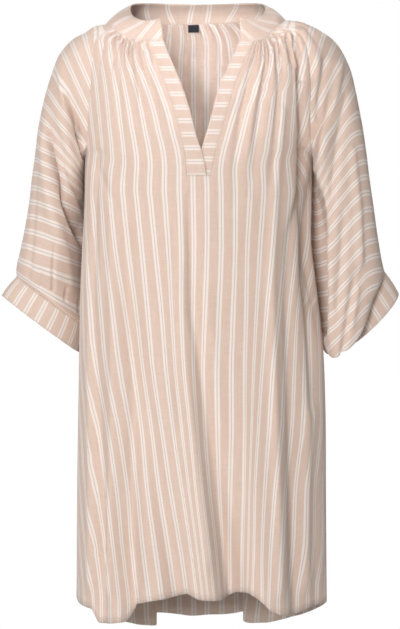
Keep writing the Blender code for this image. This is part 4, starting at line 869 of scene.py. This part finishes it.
rightArm = dict(
    name="sleeveRightCloth", node="sleeve_right", sign=1, seed=63, flat=(0.43, 0.50), area=0.160,
    cuffFlat=(0.32, 0.040), creaseDepth=1.7,
    stripeKnots=[-0.0245, -0.0122, 0.000, 0.0204, 0.0408, 0.0612, 0.0816], outerScale=0.98,
    ownSpacing=(11.0, 13.5), slipSide=(0.03, 0.13), troughSlip=0.020,
    slip=[(5.5, 0.0), (8.0, -0.009), (11.0, -0.022), (14.0, -0.034)],
    outerSlip=[(5.5, 0.0), (7.0, -0.005), (8.5, -0.028), (11.0, -0.039), (14.0, -0.050)],
    rings=[(0.2325, -0.0709, 0.1655, -0.1990, -0.062, 0.078, 0.88, 0.000, 0.000),
           (0.2385, -0.1010, 0.1645, -0.2232, -0.065, 0.082, 0.85, 0.000, 0.000),
           (0.2445, -0.1341, 0.1650, -0.2505, -0.066, 0.084, 0.81, 0.000, 0.000),
           (0.2498, -0.1718, 0.1650, -0.2808, -0.067, 0.085, 0.77, 0.000, 0.000),
           (0.2543, -0.2094, 0.1665, -0.3141, -0.068, 0.085, 0.76, 0.000, 0.000),
           (0.2603, -0.2500, 0.1715, -0.3520, -0.069, 0.084, 0.81, 0.006, 0.000),
           (0.2663, -0.2921, 0.1770, -0.3928, -0.069, 0.081, 0.86, 0.024, 0.000),
           (0.2716, -0.3237, 0.1775, -0.4270, -0.066, 0.076, 0.86, 0.064, 0.010),
           (0.2739, -0.3448, 0.1790, -0.4460, -0.026, 0.066, 0.50, 0.000, 0.014)],
    cuffEdge=(0.2949, -0.3764, 0.1930, -0.4719, -0.027, 0.067, 0.50, 0.000, 0.015),
    ridges=[(3.0, 0.300, 7.0, 0.290, 0.006, 0.034), (8.0, 0.410, 14.0, 0.420, 0.005, 0.036),
            (8.0, 0.620, 13.0, 0.700, 0.007, 0.040)],
    creases=[
        [(209.1, -41.8, 2, 6, 5), (196, -106.7, 4, 7, 6), (185.5, -154, 4.5, 7, 6),
         (177.2, -201.3, 4.5, 6, 6), (172.8, -235.2, 3, 5, 6)],
        [(184.6, -38.8, -3, 5, 5), (176, -80, -5, 6, 6), (170, -120, -4, 5, 6)],
        [(169, -205, -4, 6, 6), (173, -260, -15, 9, 7), (176, -320, -25, 10, 7), (178, -390, -25, 10, 7),
         (180, -440, -7, 8, 6)],
        [(215.6, -87.5, -2, 5, 6), (202.3, -154, -3, 6, 7), (195, -213.1, -3, 6, 7),
         (189.1, -264.8, -1.5, 6, 7)],
        [(224.5, -168.8, 1.5, 6, 4), (233.4, -257.4, 3, 7, 4), (236.3, -334.2, 3, 7, 4)],
        [(226.9, -356.4, -1.5, 4, 4), (218.6, -405.1, -2.5, 4, 5), (208.7, -468.6, -2.5, 4, 5)],
        [(231.9, -375.6, 1.5, 4, 4), (223, -427.3, 2, 4, 4)],
        [(189.1, -301.7, 2, 4, 6), (190.5, -375.6, 2.5, 4, 6), (192, -449.4, 2, 4, 6)],
        [(211.2, -264.8, -1.5, 6, 7), (206.8, -331.3, -2.5, 6, 7), (200.9, -405.1, -2, 6, 7)]],
    backCreases=[
        [(170, -60, -2, 5, 5), (184, -120, -4, 6, 7), (190, -200, -5, 7, 8), (184, -270, -3.5, 7, 8)],
        [(214, -60, -2, 5, 5), (222, -130, -4, 6, 7), (232, -220, -3.5, 7, 7), (238, -300, -2, 7, 7)],
        [(202, -150, 2.5, 7, 7), (210, -250, 3, 8, 8), (222, -340, 2, 8, 8)],
        [(250, -240, -1.5, 4, 4), (254, -310, -3, 4, 5), (258, -345, -3, 4, 4)],
        [(232, -355, -2, 2.5, 3), (230, -390, -3, 2.5, 3)],
        [(206, -360, -2, 3, 3), (205, -400, -3, 3, 3)],
        [(188, -310, -2.5, 5, 5), (196, -370, -3, 5, 6)]])


def capStations(sign):
    front, back = frontRaglan(sign), backRaglan(sign)
    outerX, outerZ = (2, 3) if sign < 0 else (4, 5)
    stations = [(neckArc(sign * neck["junctionFront"], sign * neck["shoulder"]),
                 neckArc(sign * neck["shoulder"], sign * neck["junctionBack"]))]
    swell = np.sin(np.linspace(0.0, math.pi, curveSamples))
    for row in sleeve["cap"]:
        onFront, onBack = readAt(front, [row[0]])[0], readAt(back, [row[1]])[0]
        crown = np.array([row[outerX], sleeve["crownDepth"], row[outerZ]])
        outerFront = quarterArc(atDepth(onFront, crown[1]), onFront, crown, sleeve["roundness"])
        outerBack = quarterArc(atDepth(onBack, crown[1]), crown, onBack, sleeve["roundness"])
        outerFront[:, 1] -= row[6] * swell
        outerBack[:, 1] += row[7] * swell
        stations.append((outerFront, outerBack))
    rings = []
    for outerFront, outerBack in stations[:-1]:
        rings.append(np.concatenate([np.repeat(outerFront[:1], curveSamples, axis=0),
                                     outerFront[1:], outerBack[1:],
                                     np.repeat(outerBack[-1:], curveSamples, axis=0)[1:]]))
    last = sleeve["cap"][-1]
    rings.append(np.concatenate([partOf(front, 1.0, last[0]), stations[-1][0][1:],
                                 stations[-1][1][1:], partOf(back, last[1], 1.0)[1:]]))
    return rings


def ringAxis(row, sign):
    axis = np.array([row[1] - row[3], 0.0, row[2] - row[0]]) * sign
    return axis / np.linalg.norm(axis)


def armRing(row, sign, outerRound, innerRound):
    outerX, outerZ, innerX, innerZ, frontDepth, backDepth, frontPart, droop, skew = row
    outer = np.array([outerX, sleeve["crownDepth"], outerZ])
    inner = np.array([innerX, sleeve["innerDepth"], innerZ])
    front = outer + (inner - outer) * frontPart
    back = outer + (inner - outer) * 0.5
    front[1], back[1] = frontDepth, backDepth
    ring = np.concatenate([
        quarterArc(atDepth(front, inner[1]), inner, front, innerRound),
        quarterArc(atDepth(front, outer[1]), front, outer, outerRound)[1:],
        quarterArc(atDepth(back, outer[1]), outer, back, outerRound)[1:],
        quarterArc(atDepth(back, inner[1]), back, inner, outerRound)[1:]])
    middle, half = 0.5 * (frontDepth + backDepth), 0.5 * (backDepth - frontDepth)
    ring -= ringAxis(row, sign) * (skew * (ring[:, 1:2] - middle) / half)
    ring[:, 2] -= droop * np.interp(evenly(len(ring)), *zip(*sleeve["droop"]))
    return ring


def cuffRing(row, sign):
    return armRing(row, sign, sleeve["cuffRoundness"], sleeve["cuffRoundness"])


def tuckRing(row, sign):                        # the cloth stands out a little above the cuff
    ring = cuffRing(row, sign)
    axis = ringAxis(row, sign)
    away = ring - ring.mean(axis=0)
    away -= (away @ axis)[:, None] * axis
    away /= np.linalg.norm(away, axis=1, keepdims=True)
    turn = np.linspace(0.0, 2.0 * math.pi, len(ring))
    reach = sleeve["tuck"] * (1.0 - sleeve["tuckLevelling"] * np.cos(turn)**2)
    return ring + reach[:, None] * away - sleeve["tuckRise"] * axis


def armRidgeHeight(rows, shares, ridges):
    stations, parts = np.meshgrid(rows, shares, indexing="ij")
    total = np.zeros_like(stations)
    for start, startPart, end, endPart, height, width in ridges:
        along = (stations - start) / (end - start)
        centre = startPart + (endPart - startPart) * along
        inside = smoothStep(*sleeve["ridgeStart"], along) * smoothStep(*sleeve["ridgeEnd"], along)
        total = np.maximum(total, height * inside * np.exp(-((parts - centre) / width)**2))
    return total


def makeSleeve(arm, material):
    sign = arm["sign"]
    rings = capStations(sign)
    rings += [armRing(row, sign, sleeve["roundness"], sleeve["innerRoundness"])
              for row in arm["rings"][:-1]]
    rings.append(tuckRing(arm["rings"][-1], sign))
    rings.append(cuffRing(arm["rings"][-1], sign))
    rings = np.array(rings)
    station, samples = sleeve["capStation"], curveSamples
    for part in (slice(0, samples - 1), slice(3 * samples - 2, None)):
        rings[station - 1, part] = 2.0 * rings[station, part] - rings[station + 1, part]
    rows = spread([k for k in sleeve["rowKnots"] if k < len(rings)], sleeve["rowCounts"])
    shares = spread(evenly(5), sleeve["quarters"])
    onFront, onCrown, onBack = (int(n) for n in np.cumsum(sleeve["quarters"])[:3])
    grid = loft(rings, rows, shares)
    cap = rows < station
    for seam, column, place in ((frontRaglan(sign), 0, onFront), (backRaglan(sign), 1, onBack)):
        parts = [0.0] + [row[column] for row in sleeve["cap"]]
        settle(grid, cap, place, alongSeam(seam, parts, rows[cap]), sleeve["quarters"][-1] // 2)
    nearBody = smoothStep(*sleeve["rollSide"], np.minimum(shares, 1.0 - shares))
    standOff = 1.0 - np.exp(-np.maximum(rows - station, 0.0) / sleeve["rollStart"])
    standOff *= smoothStep(*sleeve["rollEnd"], rows)
    grid[..., 0] += sign * sleeve["roll"] * standOff[:, None] * nearBody[None, :]
    # the edge down the front of the arm is rounded off
    soft = smoothStep(*sleeve["softPart"], np.abs(shares - 0.25))
    soft = smoothStep(0.0, sleeve["softStart"], rows - station)[:, None] * soft
    for _ in range(sleeve["softening"]):
        between = 0.5 * (grid[:, :-2] + grid[:, 2:])
        grid[:, 1:-1] += 0.5 * soft[:, 1:-1, None] * (between - grid[:, 1:-1])
    normal = ringOutward(grid, sign)
    # the seams lie a quarter and three quarters of the way round
    fromSeam = np.minimum(shares, 1.0 - shares) - 0.25
    push = pleatHeight((shares - 0.25) * 2.0, dropBelow(grid), sleeve["pleats"], arm["seed"])
    push *= smoothStep(0.0, sleeve["pleatFade"], fromSeam)
    push += armRidgeHeight(rows, shares, arm["ridges"])
    inFront = smoothStep(*sleeve["frontDepths"], grid[..., 1])
    # creases fade out where the sleeve is sewn to the body
    offSeam = smoothStep(0.0, sleeve["creaseSeam"], np.abs(fromSeam))[None, :]
    offArmhole = smoothStep(0.0, sleeve["creaseArmhole"], rows - station)[:, None]
    free = np.where(cap[:, None], offSeam, np.maximum(offArmhole, offSeam * (fromSeam > 0.0)))
    push += creaseHeight(grid, arm["creases"]) * arm["creaseDepth"] * inFront * free
    push += creaseHeight(grid, arm["backCreases"]) * (1.0 - inFront) * free
    calm = grid
    grid = grid + push[..., None] * normal

    # stripes lie round the arm, spaced along its outer line, and slip where a fold hides cloth
    armhole = int(np.searchsorted(rows, station))
    knots = arm["stripeKnots"]
    stripes = np.repeat(np.interp(rows, np.arange(len(knots)), knots)[:, None], len(shares), axis=1)
    drop = dropBelow(calm)
    steps = np.diff(drop, axis=0, prepend=drop[:1])
    outer = arm["outerScale"] * steps[:, onCrown:onCrown + 1]
    own = smoothStep(*arm["ownSpacing"], rows)[:, None]
    length = np.cumsum(outer + (steps - outer) * own, axis=0)
    stripes[armhole:] = knots[-1] + length[armhole:] - length[armhole]
    slip, outerSlip = (np.interp(rows, *zip(*arm[key]))[:, None] for key in ("slip", "outerSlip"))
    stripes += outerSlip + (slip - outerSlip) * smoothStep(*arm["slipSide"], np.abs(shares - 0.5))
    inner = smoothStep(*sleeve["troughSide"], np.abs(grid[..., 0])) * inFront
    inner = inner * smoothStep(0.0, sleeve["troughStart"], rows - station)[:, None]
    stripes -= arm["troughSlip"] * inner
    around = acrossFrom(grid, 0)
    build = buildCloth(arm["name"], grid, stackPair(stripes, around),
                       stackPair(drop[-1:] - drop, around), sleeve["wall"], wrap=True,
                       wanted=lambda row, column: row >= armhole or onFront <= column < onBack)
    dress(build, arm["node"], material)


cuff = dict(rows=18, columns=144, wall=0.0016, bulge=0.0012)


def makeCuff(name, node, arm, material):
    sign = arm["sign"]
    shares, steps = evenly(cuff["columns"] + 1), evenly(cuff["rows"] + 1)
    seam, edge = (readAt(cuffRing(row, sign), shares) for row in (arm["rings"][-1], arm["cuffEdge"]))
    grid = ruled(seam, edge, steps)
    swell = cuff["bulge"] * np.sin(math.pi * steps)
    grid = grid + swell[:, None, None] * ringOutward(grid, sign)
    around, down = acrossFrom(grid, 0), dropBelow(grid)
    even = np.broadcast_to(around.mean(axis=0), around.shape)
    build = buildCloth(name, grid, stackPair(even, down),
                       stackPair(np.minimum(down, down[-1:] - down), around), cuff["wall"], wrap=True)
    dress(build, node, material)


collar = dict(
    columns=180, rows=20, wall=0.0018, bulge=0.003,
    # left x, right x, depth, height of the top edge
    top=[(-0.0565, 0.0578, -0.0870, 0.0200), (-0.0785, 0.0745, -0.0800, 0.0175),
         (-0.0961, 0.0880, -0.0580, 0.0255), (-0.1025, 0.0965, -0.0300, 0.0385),
         (-0.1025, 0.0960, 0.0020, 0.0520), (-0.0870, 0.0820, 0.0420, 0.0605),
         (-0.0490, 0.0440, 0.0640, 0.0630), (-0.0050, -0.0050, 0.0690, 0.0625)],
    # where each stripe meets the neck seam and the top edge, as shares of their lengths
    stripes=[(0.023, -0.030), (0.061, 0.020), (0.113, 0.053), (0.150, 0.122), (0.205, 0.200),
             (0.270, 0.231), (0.340, 0.268), (0.408, 0.344), (0.462, 0.412), (0.498, 0.491),
             (0.540, 0.542), (0.585, 0.627), (0.652, 0.718), (0.730, 0.790), (0.803, 0.861),
             (0.872, 0.933), (0.908, 0.973), (0.966, 1.030)],
    stripeReach=0.0055, flat=(0.60, 0.036))


def bandCoordinate(along, places, reach):
    # stripes at uneven places keep their width: one pitch from each place to the next
    pitch = stripedCloth["pitch"]
    knots = np.concatenate([[place - reach, place + reach] for place in places])
    values = np.concatenate([[index * pitch - reach, index * pitch + reach]
                             for index in range(len(places))])
    return np.interp(along, knots, values)


def makeCollar(material):
    leftEnd, rightEnd = slitTopAngle("leftFree"), slitTopAngle("rightFree")
    shares, steps = evenly(collar["columns"] + 1), evenly(collar["rows"] + 1)
    foot = readAt(neckArc(leftEnd, rightEnd - 360.0), shares)
    left = [np.array([row[0], *row[2:]]) for row in collar["top"]]
    right = [np.array(row[1:]) for row in collar["top"][-2::-1]]
    top = readAt(curveThrough(left + right), shares)
    grid = ruled(top, foot, steps)
    swell = collar["bulge"] * 4.0 * steps * (1.0 - steps)
    grid += swell[:, None, None] * outward(grid, -1)
    around, down = acrossFrom(grid, 0), dropBelow(grid)
    along = np.empty(around.shape)
    for row, step in enumerate(steps):
        places = [(atTop + (atFoot - atTop) * step) * around[row, -1]
                  for atFoot, atTop in collar["stripes"]]
        along[row] = bandCoordinate(around[row], places, collar["stripeReach"])
    build = buildCloth("collarBand", grid, stackPair(along, down),
                       stackPair(np.minimum(down, down[-1:] - down), around), collar["wall"])
    dress(build, "collar", material)


# the two bands down the slit
band = dict(columns=16, rows=120, wall=0.0016, overlapStep=0.0024, overlapTop=-0.110,
            stripeStart=0.0050, flat=(0.021, 0.215))


def makeBand(name, node, slitName, freeName, behind, material):
    grid = []
    for station in np.linspace(0.0, len(slitRows) - 1, band["rows"] + 1):
        edge, free = slitPoint(station, slitName), slitPoint(station, freeName)
        line = np.linspace(edge, free, band["columns"] + 1)
        if behind:
            line[:, 1] += band["overlapStep"] * smoothStep(band["overlapTop"], slitRows[-2][0], edge[2])
        grid.append(line)
    grid = np.array(grid)
    down = dropBelow(grid)
    along = np.repeat(down.mean(axis=1)[:, None], grid.shape[1], axis=1)
    across = acrossFrom(grid, 0)
    fromEdge = np.minimum(np.minimum(across, across[:, -1:] - across), along[-1:] - along)
    if behind:
        grid, along, across, fromEdge = (table[:, ::-1] for table in (grid, along, across, fromEdge))
    build = buildCloth(name, grid, stackPair(along - band["stripeStart"], across),
                       stackPair(fromEdge, along + across), band["wall"])
    dress(build, node, material)


label = dict(width=0.0165, height=0.0120, flat=(0.0165, 0.0122), wall=0.0008,
             centreX=-0.010, drop=0.0020, offset=0.0045, columns=24, rows=18, lines=12)


def makeLabel(material):
    stations = backStations()
    places = np.linspace(label["centreX"] + 0.5 * label["width"],
                         label["centreX"] - 0.5 * label["width"], label["columns"] + 1)
    drops = np.linspace(label["drop"], label["drop"] + label["height"], label["rows"] + 1)
    lines = hermite(stations, np.arange(len(stations)), evenly(label["lines"]))
    grid = np.empty((len(drops), len(places), 3))
    for column, x in enumerate(places):
        down = np.array([[x, np.interp(x, line[::-1, 0], line[::-1, 1]),
                          np.interp(x, line[::-1, 0], line[::-1, 2])] for line in lines])
        grid[:, column] = readAt(down, drops / runningLength(down)[-1])
    grid[..., 1] -= label["offset"]
    down, across = dropBelow(grid), acrossFrom(grid, 0)
    build = buildCloth("neckTape", grid, stackPair(across, down), stackPair(across, down),
                       label["wall"])
    dress(build, "neck_label", material)


def startMaterial(name):
    material = bpy.data.materials.new(name)
    material.use_nodes = True
    return material, material.node_tree.nodes["Principled BSDF"], Wire(material.node_tree)


def readMap(wire, layer):                       # a UV map, and its two measures in metres
    place = wire.node("ShaderNodeUVMap", dict(uv_map=layer), {})
    return [place] + [wire.node("ShaderNodeSeparateXYZ", {}, {0: place}, output=part)
                      for part in (0, 1)]


def clothMaterial(name, finish, stitchPlaces):
    material, shader, wire = startMaterial(name)
    place, across, down = readMap(wire, "cloth")
    fromEdge, alongEdge = readMap(wire, "edge")[1:]

    def streaks(acrossScale, downScale, detail):
        stretched = wire.node("ShaderNodeVectorMath", dict(operation="MULTIPLY"),
                              {0: place, 1: (acrossScale, downScale, 1.0)})
        return wire.node("ShaderNodeTexNoise", dict(noise_dimensions="2D"),
                         {"Vector": stretched, "Scale": 1.0, "Detail": detail,
                          "Roughness": finish["noiseRoughness"]})

    # fine uneven threads both ways, thicker ones here and there, and wide faint patches
    warp, weft, slub, patch = (streaks(*finish[key]) for key in ("warp", "weft", "slub", "patch"))
    heather = (warp + weft) * finish["threadShare"] + (slub + patch) * finish["patchShare"]

    wander = (streaks(*finish["wander"]) - 0.5) * finish["wanderDepth"]
    fromPair = abs((across + wander).repeat(finish["pitch"]))
    fromLine = abs(fromPair - finish["lineOffset"])
    outer, inner = finish["lineHalf"] + finish["lineSoft"], finish["lineHalf"] - finish["lineSoft"]
    line = fromLine.fade(outer, inner) * (heather * finish["lineWear"] + finish["lineDensity"])
    gap = fromPair.fade(finish["lineOffset"], finish["lineOffset"] - finish["lineHalf"])
    colour = heather.fade(*finish["lighten"]).mix(finish["ground"], finish["groundLight"])
    colour = gap.mix(colour, finish["gap"])
    colour = line.mix(colour, finish["line"])

    weave = across.wave(finish["thread"]) * down.wave(finish["thread"])
    relief = finish["relief"]
    height = weave * relief["weave"] + heather * relief["heather"] + line * relief["line"]
    half, length = finish["stitchHalf"], finish["stitchLength"]
    dashEnd, dashStart = (share * length for share in finish["stitchDash"])
    for stitchPlace in stitchPlaces:
        offStitch = abs(fromEdge - stitchPlace)
        near = offStitch.fade(finish["stitchEdge"] * half, half)
        stitch = near * abs(alongEdge.repeat(length)).fade(dashEnd, dashStart)
        # the groove beside the stitches sinks in the bump, and its colour is darkened there with painted
        # shade
        groove = offStitch.fade(finish["grooveEdge"] * half, 0.0)
        colour = (stitch * finish["stitchCover"]).mix(colour, finish["stitchColour"])
        colour = (groove * finish["grooveShadeCover"]).mix(colour, finish["grooveShadeColour"])
        height = height + stitch * relief["stitch"] - groove * relief["groove"]
    bump = wire.node("ShaderNodeBump", {}, {"Strength": finish["bump"], "Height": height,
                                            "Distance": finish["bumpDistance"]})
    onLine, onGround = finish["roughness"]
    wire.link(colour, shader.inputs["Base Color"])
    wire.link(line * (onLine - onGround) + onGround, shader.inputs["Roughness"])
    wire.link(bump, shader.inputs["Normal"])
    shader.inputs["Specular IOR Level"].default_value = finish["specular"]
    shader.inputs["Sheen Weight"].default_value = finish["sheen"]
    shader.inputs["Sheen Roughness"].default_value = finish["sheenRoughness"]
    return material


labelTape = dict(colour=(0.006, 0.007, 0.013, 1.0), light=(0.018, 0.020, 0.032, 1.0),
                 thread=0.0006, slant=0.35, roughness=0.55, bump=0.5, bumpDistance=0.0004, sheen=0.2)


def tapeMaterial(name, finish):
    material, shader, wire = startMaterial(name)
    across, down = readMap(wire, "cloth")[1:]
    slanted = down + across * finish["slant"]
    rib = across.wave(finish["thread"]) * slanted.wave(2.0 * finish["thread"])
    twill = rib * 0.5 + 0.5
    bump = wire.node("ShaderNodeBump", {}, {"Strength": finish["bump"], "Height": twill,
                                            "Distance": finish["bumpDistance"]})
    wire.link(twill.mix(finish["colour"], finish["light"]), shader.inputs["Base Color"])
    wire.link(bump, shader.inputs["Normal"])
    shader.inputs["Roughness"].default_value = finish["roughness"]
    shader.inputs["Sheen Weight"].default_value = finish["sheen"]
    return material


def floorMaterial(name, tone, roughness, white):
    # looks white, and throws back no more light than pale paint would
    material, shader, wire = startMaterial(name)
    wire.tree.nodes.remove(shader)
    seen = wire.node("ShaderNodeLightPath", {}, {})
    paint = wire.node("ShaderNodeBsdfDiffuse", {}, {"Color": tone, "Roughness": roughness})
    glow = wire.node("ShaderNodeEmission", {}, {"Color": white})
    mixed = wire.node("ShaderNodeMixShader", {}, {0: seen, 1: paint, 2: glow})
    wire.link(mixed, wire.tree.nodes["Material Output"].inputs["Surface"])
    return material


# how far from the edge the stitches run
stitchLines = dict(bodyCloth=[0.0062], sleeveCloth=[0.0016], bandCloth=[0.0017])
bodyCloth, sleeveCloth, bandCloth = (clothMaterial(name, stripedCloth, places)
                                     for name, places in stitchLines.items())
tape = tapeMaterial("labelTape", labelTape)
print("finishes made")

makeFront(bodyCloth)
makeBack(bodyCloth)
print("body panels made")
for arm in (leftArm, rightArm):
    makeSleeve(arm, sleeveCloth)
print("sleeves made")
makeCuff("cuffLeftBand", "cuff_left", leftArm, bandCloth)
makeCuff("cuffRightBand", "cuff_right", rightArm, bandCloth)
makeCollar(bandCloth)
makeBand("bandLeft", "placket_left", "leftSlit", "leftFree", False, bandCloth)
makeBand("bandRight", "placket_right", "rightSlit", "rightFree", True, bandCloth)
makeLabel(tape)
print("small pieces made")


# light and floor
studio = dict(
    floorHeight=-1.35, floorReach=60.0, floorTone=(0.80, 0.80, 0.80, 1.0), floorRoughness=0.9,
    white=(1.0, 1.0, 1.0, 1.0), sky=(0.33, 0.315, 0.295, 1.0),
    lampColour=(1.0, 0.99, 0.98),
    # name, place, aim, width, height, watts, spread in degrees
    lamps=[("frontLamp", (-0.75, -3.55, 0.2), (0.0, 0.0, -0.40), 1.0, 1.0, 88.0, 180.0),
           ("keyLamp", (-2.5, -1.9, 0.9), (0.0, 0.0, -0.40), 0.9, 0.9, 17.0, 180.0),
           ("topLamp", (0.15, -1.3, 2.3), (0.0, 0.0, -0.05), 0.9, 0.9, 2.5, 180.0),
           ("neckLamp", (0.05, -2.6, 1.0), (0.0, 0.08, 0.03), 0.25, 0.25, 0.20, 9.0)])


def makeStudio():
    bpy.context.scene.view_settings.view_transform = "Standard"
    mesh = bpy.data.meshes.new("studioFloor")
    reach, height = studio["floorReach"], studio["floorHeight"]
    mesh.from_pydata([(-reach, -reach, height), (reach, -reach, height), (reach, reach, height),
                      (-reach, reach, height)], [], [(0, 1, 2, 3)])
    floor = addObject("studioFloor", mesh)
    mesh.materials.append(floorMaterial("floorPaint", studio["floorTone"], studio["floorRoughness"],
                                        studio["white"]))
    for name, place, aim, width, height, watts, spreadAngle in studio["lamps"]:
        data = bpy.data.lights.new(name, "AREA")
        data.shape = "RECTANGLE"
        data.size, data.size_y, data.energy = width, height, watts
        data.color, data.spread = studio["lampColour"], math.radians(spreadAngle)
        lamp = addObject(name, data)
        lamp.location = place
        lamp.rotation_euler = (Vector(aim) - Vector(place)).to_track_quat("-Z", "Y").to_euler()


def makeSky():
    # the backdrop looks white, and lights the cloth less than it looks
    sky = bpy.data.worlds.new("studioSky")
    sky.use_nodes = True
    background = sky.node_tree.nodes["Background"]
    wire = Wire(sky.node_tree)
    seen = wire.node("ShaderNodeLightPath", {}, {})
    wire.link(seen.mix(studio["sky"], studio["white"]), background.inputs["Color"])
    bpy.context.scene.world = sky


makeStudio()
makeSky()
print("studio made")
